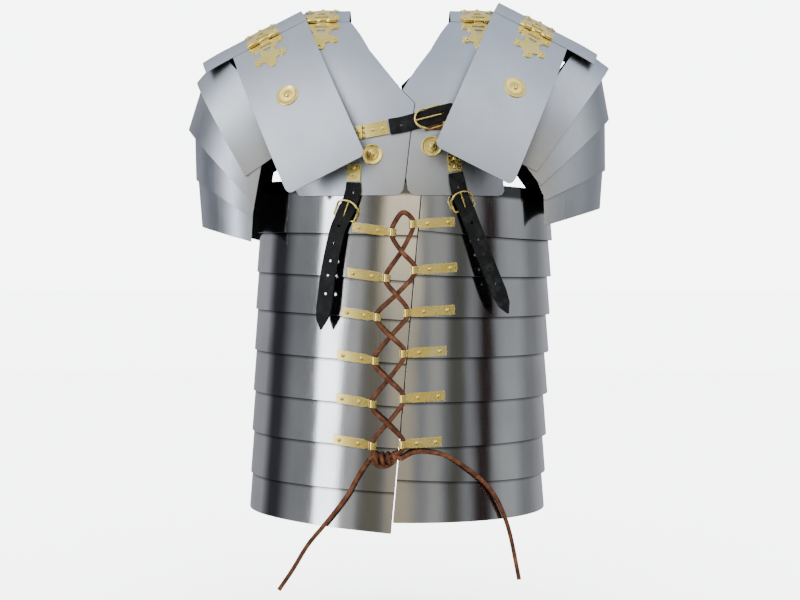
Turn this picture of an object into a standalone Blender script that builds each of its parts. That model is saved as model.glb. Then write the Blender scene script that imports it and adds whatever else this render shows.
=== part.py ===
# Roman segmented plate armour, worn with nobody in it: two laced sides of half hoops,
# a breast, collar and back plate for each shoulder, hinged shoulder guards and arm lames.
# The front faces -Y, +Z is up, and the origin is where the shoulders carry it.
# Sizes are in millimetres and become metres when a mesh is made.
import math

import bmesh
import bpy
from mathutils import Vector

for old in list(bpy.data.objects):
    bpy.data.objects.remove(old, do_unlink=True)

MM = 0.001
WALL = 1.2                 # steel sheet
NEST = 0.45                # clearance between plates that lie on each other
SIDES = (("left", -1), ("right", 1))

# Girdle: half hoops round an oval trunk
HALF_WIDTH = 193.5
HALF_DEPTH = 140.0
HOOP_HEIGHT = 65.0
FLARE_FRONT = 2.2          # how much further in a hoop's top rim lies, front and back
FLARE_SIDE = 2.8           # and how much more at the sides
FRONT_GAP = 1.0
BACK_GAP = 5.0
SEAM_TOP, SEAM_BOTTOM = 22.0, -9.5      # the front seam leans, X at the first and last hoop
CENTRE_TOP, CENTRE_BOTTOM = 7.0, -4.0   # and so does the girdle's middle
HOOP_STEP = 7.5            # degrees between the facets
FRONT_SLOPE = 1.5          # how early a hoop's edges leave their side height towards the seam

# Lower edge of each hoop: left side, left front, right side, right front
HOOPS = (
    (-284, -288, -294, -280),
    (-335, -344, -341, -336),
    (-383, -392, -390, -388),
    (-436, -445, -439, -438),
    (-489, -498, -493, -493),
    (-541, -549, -547, -549),
    (-596, -603, -595, -587),
    (-642, -654, -642, -640),
)
GIRDLE_TOP, GIRDLE_FOOT = -284.0, -642.0

# Yoke: breast, collar and back plates on one saddle, s runs down the plate from the crown
CROWN_Z = 8.0
CROWN_RADIUS = 71.3
HINGE_RUN = 56.0           # plate from the crown to the hinge line
CHEST_RADIUS = 308.0
YOKE_FOOT_Z = -239.0
YOKE_WIDTH = 230.0         # half width of the yoke's oval at the crown
NECK_X = 65.0
COLLAR_EDGE_X = 150.0
HINGE_SEAM = 0.5           # half the gap between hinged plates

# Shoulder guards: an arch that slopes outwards
GUARD_X = 130.0
GUARD_Z = {-1: 8.0, 1: 19.0}
GUARD_SLOPE = math.radians(27.1)
GUARD_CROWN_RADIUS = 70.0
GUARD_RADIUS = 450.0
GUARD_LENGTH = 228.0       # front and back plate below the hinge line
GUARD_WIDTH = 106.0
GUARD_TOP_WIDTH = 145.0    # the top plate reaches further out
GUARD_LEAN = 12.0
CURL_START, CURL = 110.0, 600.0

# Hinges
BARREL_RADIUS = 2.7
BARREL_LIFT = 3.3
PIN_RADIUS = 1.1
BORE_RADIUS = 1.7
BARREL_HALF = 21.8
KNUCKLE_HALF = 6.5
KNUCKLE_GAP = 0.5
LEAF_TOP = 1.0
LEAF_SINK = 0.4
LEAF_START = 3.8
GUARD_HINGE_U = 60.5
YOKE_HINGE_X = 101.0
YOKE_BARREL_HALF = 19.0

# Half width of a hinge leaf against the distance from the barrel
LEAF = (
    (0.0, 21.8),
    (4.5, 20.7),
    (10.2, 14.2),
    (17.0, 17.4),
    (23.7, 18.5),
    (30.5, 13.1),
    (37.3, 9.8),
    (43.0, 11.4),
    (47.5, 8.7),
    (50.8, 3.3),
)
LEAF_COLUMNS = 3
WEB_THICK = 1.4

# Arm lames: lower edge at the crown (x, z) and at the front end (x, z), half depth
LAMES = {
    -1: (
        (267, -86, 194, -214, 92),
        (278, -148, 183, -250, 91),
        (268, -214, 186, -266, 90),
        (260, -276, 187, -296, 88.5),
    ),
    1: (
        (275, -67, 172, -208, 92),
        (275, -135, 177, -226, 91),
        (270, -202, 183, -244, 90),
        (263, -252, 182, -276, 88.5),
    ),
}
LAME_TOP_U = 118.0
LAME_TOP_FRONT = {-1: (128, -168, 88), 1: (128, -186, 88)}
LAME_TUCK = (0.70, 0.74, 0.78)
LAME_COLUMNS = 17

# Lacing loops: x of the outer end and of the eye's end, left and right
LOOPS = (
    (-58, -5, 67, 11),
    (-65, -12, 70, 13),
    (-71, -23, 67, 4),
    (-77, -26, 57, 0),
    (-78, -29, 55, -1),
    (-82, -29, 51, -1),
)
LOOP_RISE = 7.0            # loop's middle above the hoop's lower edge
LOOP_HALF = 6.0
EYE_HALF = 4.6
EYE_WIDTH = 8.8
EYE_TOP = 7.0
LOOP_THICK = 1.0
LOOP_LIFT = 0.9            # middle of the strip over the hoop
LOOP_TILT = {-1: 0.14, 1: 0.06}    # how steeply a loop drops towards the seam
LOOP_NECK = 5.0            # how far before the eye a loop starts to narrow
EYE_BEND = 1.2             # reach of the bends at the eye's foot and corners

# Lace
LACE_RADIUS = 2.8
LACE_LIFT = 3.3
LACE_OVER = 9.3
LACE_STEP = 13.0
LACE_TOP = 13.0            # the lace's arc above the top right loop

STEEL = (0.62, 0.64, 0.66)
BRASS = (0.80, 0.62, 0.25)
BLACK = (0.02, 0.02, 0.022)
BROWN = (0.20, 0.07, 0.03)


def finish(name, colour, metallic, roughness):
    made = bpy.data.materials.new(name)
    made.use_nodes = True
    shader = made.node_tree.nodes["Principled BSDF"]
    shader.inputs["Base Color"].default_value = (*colour, 1.0)
    shader.inputs["Metallic"].default_value = metallic
    shader.inputs["Roughness"].default_value = roughness
    return made


LOOKS = {
    "steel": (STEEL, 1.0, 0.35),
    "brass": (BRASS, 1.0, 0.3),
    "black_leather": (BLACK, 0.0, 0.6),
    "brown_leather": (BROWN, 0.0, 0.65),
}


def add_object(name, data, look):
    """Link a mesh or curve as an object with a material of its own."""
    thing = bpy.data.objects.new(name, data)
    bpy.context.collection.objects.link(thing)
    data.materials.clear()
    data.materials.append(finish(name + "_finish", *LOOKS[look]))
    return thing


def mesh_object(name, points, faces, look, smooth=35.0):
    mesh = bpy.data.meshes.new(name)
    mesh.from_pydata([p * MM for p in points], [], faces)
    work = bmesh.new()
    work.from_mesh(mesh)
    bmesh.ops.recalc_face_normals(work, faces=work.faces)
    bmesh.ops.triangulate(work, faces=work.faces)
    work.to_mesh(mesh)
    work.free()
    mesh.shade_smooth()
    mesh.set_sharp_from_angle(angle=math.radians(smooth))
    return add_object(name, mesh, look)


def between(table, value, column=1):
    """Read a column of a table at a value of its first column, with straight lines between rows."""
    if value <= table[0][0]:
        return table[0][column]
    for low, high in zip(table, table[1:]):
        if value <= high[0]:
            share = (value - low[0]) / (high[0] - low[0])
            return low[column] + share * (high[column] - low[column])
    return table[-1][column]


def refine(table, step):
    """The table with rows added between its own, no further apart than the step."""
    rows = [table[0]]
    for low, high in zip(table, table[1:]):
        count = math.ceil((high[0] - low[0]) / step)
        for part in range(1, count + 1):
            rows.append(tuple(a + (b - a) * part / count for a, b in zip(low, high)))
    return rows


def curve_between(before, start, end, after, t):
    """Point on the smooth curve from start to end, at a share t of the way."""
    return 0.5 * ((2 * start) + (end - before) * t
                  + (2 * before - 5 * start + 4 * end - after) * t * t
                  + (3 * start - before - 3 * end + after) * t ** 3)


def smooth_path(points, step):
    """Points on a smooth curve through the given ones, about a step apart, the given ones kept."""
    points = [Vector(p) for p in points]
    ends = [2 * points[0] - points[1]] + points + [2 * points[-1] - points[-2]]
    path = []
    for before, start, end, after in zip(ends, ends[1:], ends[2:], ends[3:]):
        count = max(1, round((end - start).length / step))
        path += [curve_between(before, start, end, after, part / count) for part in range(count)]
    return path + [points[-1]]


class Skin:
    """A surface given by a function of two numbers, with a point that lies inside it."""

    def __init__(self, function, core):
        self.function = function
        self.core = Vector(core)

    def normal(self, u, v):
        step = 0.01
        along_u = self.function(u + step, v) - self.function(u - step, v)
        along_v = self.function(u, v + step) - self.function(u, v - step)
        out = along_u.cross(along_v).normalized()
        if out.dot(self.function(u, v) - self.core) < 0:
            out = -out
        return out

    def at(self, u, v, lift=0.0):
        point = self.function(u, v)
        if lift:
            point = point + self.normal(u, v) * lift
        return point


def slab(name, rows, bottom, top, skin, look):
    """Closed plate on a skin. Each row lists the (u, v) places across it, all rows alike."""
    wide = len(rows[0])
    upper = [skin.at(u, v, top) for row in rows for u, v in row]
    lower = [skin.at(u, v, bottom) for row in rows for u, v in row]
    under = len(upper)
    faces = []
    for row in range(len(rows) - 1):
        for column in range(wide - 1):
            a = row * wide + column
            quad = (a, a + 1, a + wide + 1, a + wide)
            faces.append(quad)
            faces.append(tuple(under + corner for corner in reversed(quad)))
    last = (len(rows) - 1) * wide
    rim = list(range(wide))
    rim += [row * wide + wide - 1 for row in range(1, len(rows))]
    rim += [last + column for column in range(wide - 2, -1, -1)]
    rim += [row * wide for row in range(len(rows) - 2, 0, -1)]
    for a, b in zip(rim, rim[1:] + rim[:1]):
        faces.append((b, a, under + a, under + b))
    return mesh_object(name, upper + lower, faces, look)


def ribbon(name, frames, look):
    """Closed strip through frames of four corners."""
    points = [corner for frame in frames for corner in frame]
    faces = [(3, 2, 1, 0)]
    for start in range(0, len(points) - 4, 4):
        for corner in range(4):
            after = (corner + 1) % 4
            faces.append((start + corner, start + after, start + 4 + after, start + 4 + corner))
    faces.append(tuple(len(points) - 4 + corner for corner in range(4)))
    return mesh_object(name, points, faces, look)


def turned(name, start, end, radius, bore=0.0, look="brass", sides=12):
    """Round bar between two points, or a tube when it has a bore."""
    axis = (end - start).normalized()
    side = axis.orthogonal().normalized()
    other = axis.cross(side)
    points = []
    for place, size in ((start, radius), (end, radius), (end, bore), (start, bore)):
        if size == 0.0 and bore == 0.0:
            continue
        for number in range(sides):
            angle = 2 * math.pi * number / sides
            points.append(place + (side * math.cos(angle) + other * math.sin(angle)) * size)
    rings = len(points) // sides
    faces = []
    for ring in range(rings if bore else rings - 1):
        after = (ring + 1) % rings
        for number in range(sides):
            near = (number + 1) % sides
            faces.append((ring * sides + number, ring * sides + near,
                          after * sides + near, after * sides + number))
    if not bore:
        faces.append(tuple(range(sides)))
        faces.append(tuple(range(2 * sides - 1, sides - 1, -1)))
    return mesh_object(name, points, faces, look)


def fuse(base, parts):
    """Join the parts to the base as one solid and drop them."""
    for part in parts:
        join = base.modifiers.new("join", "BOOLEAN")
        join.operation = "UNION"
        join.solver = "EXACT"
        join.object = part
    bpy.context.view_layer.update()
    graph = bpy.context.evaluated_depsgraph_get()
    joined = bpy.data.meshes.new_from_object(base.evaluated_get(graph))
    base.modifiers.clear()
    material = base.data.materials[0]
    base.data = joined
    joined.materials.clear()
    joined.materials.append(material)
    for part in parts:
        bpy.data.objects.remove(part, do_unlink=True)
    joined.shade_smooth()
    joined.set_sharp_from_angle(angle=math.radians(35.0))
    return base


def move_origin(thing, place):
    """Put the object's origin at a place in millimetres without moving its shape."""
    for vertex in thing.data.vertices:
        vertex.co -= place * MM
    thing.location = place * MM


# Girdle
def girdle_centre(z):
    share = min(max((GIRDLE_TOP - z) / (GIRDLE_TOP - GIRDLE_FOOT), 0.0), 1.0)
    return CENTRE_TOP + (CENTRE_BOTTOM - CENTRE_TOP) * share


def seam_x(z):
    share = (GIRDLE_TOP - z) / (GIRDLE_TOP - GIRDLE_FOOT)
    return SEAM_TOP + (SEAM_BOTTOM - SEAM_TOP) * share


def front_share(angle):
    """How far a hoop's edges have gone from their side height to their height at the seam."""
    return (1 - math.sin(angle)) ** FRONT_SLOPE if angle < math.pi / 2 else 0.0


def hoop_point(side, edge, angle, down):
    """A hoop's outer face, by angle from the front and 0 at its top rim to 1 at its lower edge."""
    side_z, front_z = edge
    low = side_z + (front_z - side_z) * front_share(angle)
    z = low + HOOP_HEIGHT * (1 - down)
    inset = (FLARE_FRONT + FLARE_SIDE * math.sin(angle)) * (1 - down)
    out = Vector((side * math.sin(angle) * HALF_DEPTH, -math.cos(angle) * HALF_WIDTH, 0.0)).normalized()
    place = Vector((girdle_centre(side_z) + side * HALF_WIDTH * math.sin(angle),
                    -HALF_DEPTH * math.cos(angle), z))
    return place - out * inset


def make_hoop(side_name, side, number, edge):
    skin = Skin(lambda angle, down: hoop_point(side, edge, angle, down), (0, 0, edge[0]))
    rows = []
    for down in (0.0, 1.0):
        z = edge[1] + HOOP_HEIGHT * (1 - down)
        reach = side * (seam_x(z) - girdle_centre(edge[0])) + FRONT_GAP / 2
        first = math.asin(reach / HALF_WIDTH)
        last = math.pi - math.asin(BACK_GAP / 2 / HALF_WIDTH)
        turns = [math.radians(HOOP_STEP * step) for step in range(2, int(180 / HOOP_STEP))]
        rows.append([(turn, down) for turn in [first] + turns + [last]])
    slab(f"girdle_hoop_{number}_{side_name}", rows, -WALL, 0.0, skin, "steel")


for hoop_number, heights in enumerate(HOOPS, 1):
    make_hoop("left", -1, hoop_number, heights[0:2])
    make_hoop("right", 1, hoop_number, heights[2:4])


# Yoke
def two_arcs(run, crown_radius, lower_radius):
    """Reach and drop of a plate that leaves the crown level and turns down in two arcs."""
    turn = HINGE_RUN / crown_radius
    if run <= HINGE_RUN:
        angle = run / crown_radius
        return crown_radius * math.sin(angle), crown_radius * (1 - math.cos(angle))
    angle = turn + (run - HINGE_RUN) / lower_radius
    straight = 0.0
    if angle > math.pi / 2:
        straight = (angle - math.pi / 2) * lower_radius
        angle = math.pi / 2
    reach = crown_radius * math.sin(turn) + lower_radius * (math.sin(angle) - math.sin(turn))
    drop = crown_radius * (1 - math.cos(turn)) + lower_radius * (math.cos(turn) - math.cos(angle))
    return reach, drop + straight


YOKE_FOOT = HINGE_RUN
while CROWN_Z - two_arcs(YOKE_FOOT, CROWN_RADIUS, CHEST_RADIUS)[1] > YOKE_FOOT_Z:
    YOKE_FOOT += 0.25


def shoulder_fall(side, x):
    """The collar levels out at the neck and meets the guard's underside at its outer edge."""
    under_guard = GUARD_Z[side] - (COLLAR_EDGE_X - GUARD_X) * math.tan(GUARD_SLOPE)
    edge = under_guard - (WALL + NEST) / math.cos(GUARD_SLOPE)
    return between(((NECK_X, 0.0), (95.0, 0.5), (120.0, 1.5), (COLLAR_EDGE_X, CROWN_Z - edge)), abs(x))


def front_point(side, x, run):
    """Outside of the front: the saddle down to its lower edge, then the girdle's oval."""
    face = -1 if run >= 0 else 1
    run = abs(run)
    past = max(run - YOKE_FOOT, 0.0)
    share = min(run / YOKE_FOOT, 1.0)
    reach, drop = two_arcs(min(run, YOKE_FOOT), CROWN_RADIUS, CHEST_RADIUS)
    width = YOKE_WIDTH + (HALF_WIDTH - YOKE_WIDTH) * share
    z = CROWN_Z - drop - past
    centre = CENTRE_TOP * share if z > GIRDLE_TOP else girdle_centre(z)
    bulge = math.sqrt(1 - ((x - centre) / width) ** 2)
    fade = max(0.0, 1 - run / 180)
    return Vector((x, face * reach * bulge, z - shoulder_fall(side, x) * fade))


FRONT = {side: Skin(lambda x, run, side=side: front_point(side, x, run), (0, 0, -150)) for side in (-1, 1)}

# Breastplate edges: run down the plate, neck or seam edge of the left and of the right
# plate, and the outer edge of both
BREAST = (
    (56.5, -63.0, 63.0, 150.0),
    (80.0, -51.0, 51.0, 143.0),
    (110.0, -38.0, 38.0, 135.0),
    (140.0, -19.0, 20.0, 127.0),
    (171.0, 2.0, 3.0, 121.0),
    (190.0, 18.0, 19.0, 119.0),
    (235.0, 12.0, 13.0, 121.0),
    (285.0, 6.5, 7.5, 128.0),
    (300.0, 4.0, 9.5, 130.0),
    (305.0, 0.0, 14.0, 127.0),
    (306.5, -6.0, 21.0, 121.0),
)
BACK = (
    (56.5, 63.0, 150.0),
    (85.0, 46.0, 142.0),
    (115.0, 24.0, 134.0),
    (138.0, 2.0, 127.0),
    (190.0, 0.6, 119.0),
    (245.0, 0.6, 122.0),
    (290.0, 0.6, 128.0),
    (303.0, 3.0, 129.0),
    (306.5, 9.0, 123.0),
)
PLATE_COLUMNS = 8
PLATE_STEP = 24.0          # furthest apart that a plate's rows are


def across(run, start, end, columns):
    return [(start + (end - start) * column / (columns - 1), run) for column in range(columns)]


def leaf(skin, middle, seam, away):
    """Hinge leaf on a skin, from beside the barrel away from the seam."""
    rows = []
    for place, half in LEAF:
        run = seam + away * (LEAF_START + place)
        rows.append(across(run, middle - half, middle + half, LEAF_COLUMNS))
    return slab("leaf", rows, -LEAF_SINK, LEAF_TOP, skin, "brass")


def web(skin, start, end, seam, away, inside):
    """Strip that rises from a hinge leaf to its knuckle; inside is how near the axis it ends."""
    frames = []
    half = WEB_THICK / 2
    stations = (
        (LEAF_START + 3.0, half, half),
        (LEAF_START + 0.2, 1.55, 0.65),
        (inside + 0.7, 2.55, 0.55),
        (inside, BARREL_LIFT, 0.5),
    )
    for place, middle, half in stations:
        low, high = middle - half, middle + half
        run = seam + away * place
        frames.append([skin.at(start, run, low), skin.at(end, run, low),
                       skin.at(end, run, high), skin.at(start, run, high)])
    return ribbon("web", frames, "brass")


# Turned boss: share of the radius and lift, from the rim over a sunk ring to the domed middle
ROSETTE = (
    (1.0, -LEAF_SINK),
    (1.0, 1.0),
    (0.82, 1.3),
    (0.66, 0.9),
    (0.36, 1.0),
    (0.26, 2.2),
    (0.12, 2.8),
)
ROSETTE_TOP = 3.0


def rosette(skin, x, run, radius, sides=16):
    points = []
    for share, lift in ROSETTE:
        for number in range(sides):
            angle = 2 * math.pi * number / sides
            points.append(skin.at(x + radius * share * math.cos(angle),
                                  run + radius * share * math.sin(angle), lift))
    faces = []
    for ring in range(len(ROSETTE) - 1):
        for number in range(sides):
            near = (number + 1) % sides
            faces.append((ring * sides + number, ring * sides + near,
                          (ring + 1) * sides + near, (ring + 1) * sides + number))
    points.append(skin.at(x, run, -LEAF_SINK))
    points.append(skin.at(x, run, ROSETTE_TOP))
    last = (len(ROSETTE) - 1) * sides
    for number in range(sides):
        near = (number + 1) % sides
        faces.append((near, number, len(points) - 2))
        faces.append((last + number, last + near, len(points) - 1))
    return mesh_object("rosette", points, faces, "brass")


CHEST_ROSETTE = {-1: (-34.0, 256.0), 1: (39.0, 246.0)}
CHEST_ROSETTE_RADIUS = 13.0


def make_yoke(side_name, side):
    skin = FRONT[side]
    seam = HINGE_RUN
    middle = side * YOKE_HINGE_X
    column = 1 if side < 0 else 2
    rows = [across(row[0], row[column], side * row[3], PLATE_COLUMNS) for row in refine(BREAST, PLATE_STEP)]
    breast = slab(f"breastplate_{side_name}", rows, -WALL, 0.0, skin, "steel")
    boss = rosette(skin, *CHEST_ROSETTE[side], CHEST_ROSETTE_RADIUS)
    fuse(breast, [leaf(skin, middle, seam, 1), boss])

    rows = [across(-row[0], side * row[1], side * row[2], PLATE_COLUMNS) for row in refine(BACK, PLATE_STEP)]
    back = slab(f"back_plate_{side_name}", rows, -WALL, 0.0, skin, "steel")
    fuse(back, [leaf(skin, middle, -seam, -1)])

    runs = [HINGE_SEAM - HINGE_RUN + (HINGE_RUN - HINGE_SEAM) * step / 5 for step in range(11)]
    rows = [across(run, side * NECK_X, side * COLLAR_EDGE_X, PLATE_COLUMNS) for run in runs]
    collar = slab(f"collar_plate_{side_name}", rows, -WALL, 0.0, skin, "steel")
    parts = []
    for line, away in ((seam, -1), (-seam, 1)):
        ends = [skin.at(middle + end * YOKE_BARREL_HALF, line, BARREL_LIFT) for end in (-1, 1)]
        parts.append(turned("barrel", ends[0], ends[1], BARREL_RADIUS))
        parts.append(web(skin, middle - YOKE_BARREL_HALF + 1, middle + YOKE_BARREL_HALF - 1, line, away, 1.5))
        parts.append(leaf(skin, middle, line, away))
    fuse(collar, parts)


# Shoulder guards
def guard_axes(side):
    outward = Vector((side * math.cos(GUARD_SLOPE), 0.0, -math.sin(GUARD_SLOPE)))
    down = Vector((-side * math.sin(GUARD_SLOPE), 0.0, -math.cos(GUARD_SLOPE)))
    return outward, down


def guard_point(side, u, run):
    outward, down = guard_axes(side)
    face = -1 if run >= 0 else 1
    reach, drop = two_arcs(abs(run), GUARD_CROWN_RADIUS, GUARD_RADIUS)
    lean = GUARD_LEAN * max(abs(run) - HINGE_RUN, 0.0) / GUARD_LENGTH
    place = Vector((side * GUARD_X, face * reach, GUARD_Z[side]))
    place += outward * (u + lean) + down * drop
    curl = max(u - CURL_START, 0.0) ** 2 / CURL
    return place - Vector((0.0, 0.0, curl))


GUARD = {side: Skin(lambda u, run, side=side: guard_point(side, u, run), (side * 120, 0, -150))
         for side in (-1, 1)}
GUARD_ROSETTE = {-1: (59.0, 161.0), 1: (62.0, 161.0)}
GUARD_ROSETTE_RADIUS = 14.5

# Front and back guard plates: run from the hinge line's edge, and how far the sides draw in
GUARD_ROWS = (
    (0.5, 0.0),
    (45.0, 0.0),
    (90.0, 0.0),
    (135.0, 0.0),
    (180.0, 0.0),
    (218.0, 0.0),
    (225.0, 2.5),
    (228.0, 8.0),
)
GUARD_COLUMNS = 3


def make_guard(side_name, side):
    skin = GUARD[side]
    middle = GUARD_HINGE_U
    edge = HINGE_RUN - HINGE_SEAM
    runs = [edge * step / 6 for step in range(-6, 7)]
    rows = [across(run, 0.0, GUARD_TOP_WIDTH, 6) for run in runs]
    top = slab(f"guard_top_{side_name}", rows, -WALL, 0.0, skin, "steel")
    parts = []
    for line, away in ((HINGE_RUN, -1), (-HINGE_RUN, 1)):
        def on_axis(u):
            return skin.at(middle + u, line, BARREL_LIFT)
        inner = KNUCKLE_HALF + KNUCKLE_GAP
        parts.append(turned("pin", on_axis(-BARREL_HALF + 2), on_axis(BARREL_HALF - 2), PIN_RADIUS, sides=10))
        for low, high in ((-BARREL_HALF, -inner), (inner, BARREL_HALF)):
            parts.append(turned("knuckle", on_axis(low), on_axis(high), BARREL_RADIUS))
            parts.append(web(skin, middle + low + 0.7, middle + high - 0.7, line, away, 1.5))
        parts.append(leaf(skin, middle, line, away))
    fuse(top, parts)

    for place, line in (("front", 1), ("back", -1)):
        rows = [across(line * (HINGE_RUN + run), inset, GUARD_WIDTH - inset, GUARD_COLUMNS)
                for run, inset in refine(GUARD_ROWS, PLATE_STEP)]
        plate = slab(f"guard_{place}_{side_name}", rows, -WALL, 0.0, skin, "steel")
        seam = line * HINGE_RUN
        ends = [skin.at(middle + end * KNUCKLE_HALF, seam, BARREL_LIFT) for end in (-1, 1)]
        parts = [
            turned("knuckle", ends[0], ends[1], BARREL_RADIUS, BORE_RADIUS),
            web(skin, middle - KNUCKLE_HALF + 0.7, middle + KNUCKLE_HALF - 0.7, seam, line, 2.2),
            leaf(skin, middle, seam, line),
        ]
        if line > 0:
            parts.append(rosette(skin, *GUARD_ROSETTE[side], GUARD_ROSETTE_RADIUS))
        fuse(plate, parts)
        move_origin(plate, (ends[0] + ends[1]) / 2)


# Arm lames
def arch(crown, front, depth):
    """Half loop round the arm from a crown place to the front and back ends, by angle."""
    def place(angle):
        share = math.cos(angle)
        return Vector((front[0] + (crown[0] - front[0]) * share, -depth * math.sin(angle),
                       front[1] + (crown[1] - front[1]) * share))
    return place


def make_lames(side_name, side):
    top = GUARD[side].at(LAME_TOP_U, 0.0, -WALL - NEST - 0.3)
    front_x, front_z, depth = LAME_TOP_FRONT[side]
    upper = arch((top.x, top.z), (side * front_x, front_z), depth)
    for number, row in enumerate(LAMES[side], 1):
        crown_x, crown_z, front_x, front_z, depth = row
        lower = arch((side * crown_x, crown_z), (side * front_x, front_z), depth)
        skin = Skin(lambda angle, down, upper=upper, lower=lower: upper(angle).lerp(lower(angle), down),
                    (side * 185, 0, (crown_z + front_z) / 2 - 30))
        angles = [math.pi * (step / (LAME_COLUMNS - 1) - 0.5) for step in range(LAME_COLUMNS)]
        rows = [[(angle, down) for angle in angles] for down in (0.0, 1.0)]
        slab(f"arm_lame_{number}_{side_name}", rows, -WALL, 0.0, skin, "steel")
        if number < len(LAMES[side]):
            tuck = LAME_TUCK[number - 1]
            upper = (lambda angle, skin=skin, tuck=tuck: skin.at(angle, tuck, -WALL - NEST - 0.3))


for name_of_side, sign in SIDES:
    make_yoke(name_of_side, sign)
    make_guard(name_of_side, sign)
    make_lames(name_of_side, sign)


# Lacing loops
def girdle_place(x, z, lift):
    centre = girdle_centre(z)
    y = -HALF_DEPTH * math.sqrt(1 - ((x - centre) / HALF_WIDTH) ** 2)
    out = Vector(((x - centre) / HALF_WIDTH ** 2, y / HALF_DEPTH ** 2, 0.0)).normalized()
    return Vector((x, y, z)) + out * lift


def loop_z(row, side):
    return HOOPS[row][1 if side < 0 else 3] + LOOP_RISE


def eye_x(row, side):
    return LOOPS[row][1 if side < 0 else 3] + side * EYE_WIDTH / 2


def eye_z(row, side):
    start = LOOPS[row][0 if side < 0 else 2]
    return loop_z(row, side) - LOOP_TILT[side] * abs(eye_x(row, side) - start) / 2


def make_loop(name, row, side):
    """Brass strip on the hoop whose end stands up as an eye over the lace."""
    start, end = LOOPS[row][0 if side < 0 else 2], LOOPS[row][1 if side < 0 else 3]
    middle = (start + eye_x(row, side)) / 2
    way = -side

    def corner(x, up, lift):
        drop = LOOP_TILT[side] * way * (x - middle)
        return girdle_place(x, loop_z(row, side) + up - drop, lift)

    leg = end - way * EYE_WIDTH
    flat_end = leg - way * LOOP_NECK
    flat = [(start + (flat_end - start) * step / 4, LOOP_LIFT, LOOP_HALF) for step in range(5)]
    track = (
        *flat,
        (leg - way * EYE_BEND * 1.25, LOOP_LIFT, EYE_HALF),
        (leg - way * EYE_BEND / 4, LOOP_LIFT + EYE_BEND, EYE_HALF),
        (leg, EYE_TOP - EYE_BEND, EYE_HALF),
        (leg + way * EYE_BEND, EYE_TOP, EYE_HALF),
        (end - way * EYE_BEND, EYE_TOP, EYE_HALF),
        (end, EYE_TOP - EYE_BEND, EYE_HALF),
        (end, LOOP_LIFT, EYE_HALF),
    )
    frames = []
    for index, (x, lift, half) in enumerate(track):
        before = track[max(index - 1, 0)]
        after = track[min(index + 1, len(track) - 1)]
        run = Vector((after[0] - before[0], after[1] - before[1])).normalized()
        aside = Vector((-run.y, run.x)) * LOOP_THICK / 2 * way
        low, high = (x - aside.x, lift - aside.y), (x + aside.x, lift + aside.y)
        frames.append([corner(low[0], -half, low[1]), corner(low[0], half, low[1]),
                       corner(high[0], half, high[1]), corner(high[0], -half, high[1])])
    return ribbon(name, frames, "brass")


for row_number in range(len(LOOPS)):
    for name_of_side, sign in SIDES:
        make_loop(f"lace_loop_{row_number + 1}_{name_of_side}", row_number, sign)


# Lace: up through the eyes to an arc at the top and down again to a knot
KNOT = (-18.0, -560.0)
KNOT_LIFT = 9.0
KNOT_SIZE = (19.0, 7.5, 7.0)
EYE_LEAD = 6.0


def lace_places():
    rows = list(range(len(LOOPS)))
    places = [(KNOT[0] - 6, KNOT[1] + 2, KNOT_LIFT)]

    def through(row, side, way):
        x, z = eye_x(row, side), eye_z(row, side)
        places.extend([(x, z - way * EYE_LEAD, LACE_LIFT), (x, z + way * EYE_LEAD, LACE_LIFT)])

    def crossing(row, lift):
        eyes = [(eye_x(near, side), eye_z(near, side)) for near in (row, row + 1) for side in (-1, 1)]
        places.append((sum(x for x, _ in eyes) / 4, sum(z for _, z in eyes) / 4, lift))

    side = -1
    for row in reversed(rows):
        through(row, side, 1)
        if row:
            crossing(row - 1, LACE_LIFT if row % 2 else LACE_OVER)
        side = -side
    places.append(((eye_x(0, -1) + eye_x(0, 1)) / 2, loop_z(0, 1) + LACE_TOP, LACE_LIFT + 1.5))
    side = -1
    for row in rows:
        through(row, side, -1)
        if row < rows[-1]:
            crossing(row, LACE_OVER if (row + 1) % 2 else LACE_LIFT)
        side = -side
    places.append((KNOT[0] + 6, KNOT[1] + 2, KNOT_LIFT))
    return places


def tube(name, points, look="brown_leather", radius=LACE_RADIUS, closed=False):
    curve = bpy.data.curves.new(name, "CURVE")
    curve.dimensions = "3D"
    curve.bevel_depth = radius * MM
    curve.bevel_resolution = 2
    curve.use_fill_caps = not closed
    spline = curve.splines.new("POLY")
    spline.points.add(len(points) - 1)
    for knot, point in zip(spline.points, points):
        knot.co = (*(point * MM), 1.0)
    spline.use_cyclic_u = closed
    return add_object(name, curve, look)


def as_mesh(thing):
    """Turn a curve object into a mesh object of the same name."""
    bpy.context.view_layer.update()
    graph = bpy.context.evaluated_depsgraph_get()
    mesh = bpy.data.meshes.new_from_object(thing.evaluated_get(graph))
    name = thing.name
    bpy.data.objects.remove(thing, do_unlink=True)
    made = bpy.data.objects.new(name, mesh)
    bpy.context.collection.objects.link(made)
    return made


def make_knot():
    """Flattened lump of the tied lace."""
    centre = girdle_place(KNOT[0], KNOT[1], KNOT_LIFT)
    work = bmesh.new()
    bmesh.ops.create_icosphere(work, subdivisions=2, radius=1.0)
    for vertex in work.verts:
        spot = vertex.co
        waist = 1 - 0.16 * math.cos(spot.x * 7.0)
        vertex.co = Vector((spot.x * KNOT_SIZE[0], spot.y * KNOT_SIZE[1] * waist,
                            spot.z * KNOT_SIZE[2] * waist)) * MM + centre * MM
    mesh = bpy.data.meshes.new("knot")
    work.to_mesh(mesh)
    work.free()
    return add_object("knot", mesh, "brown_leather")


laced = [girdle_place(*place) for place in smooth_path(lace_places(), LACE_STEP)]
laced_stretch = as_mesh(tube("lace_laced", laced))
fuse(laced_stretch, [make_knot()])

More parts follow.
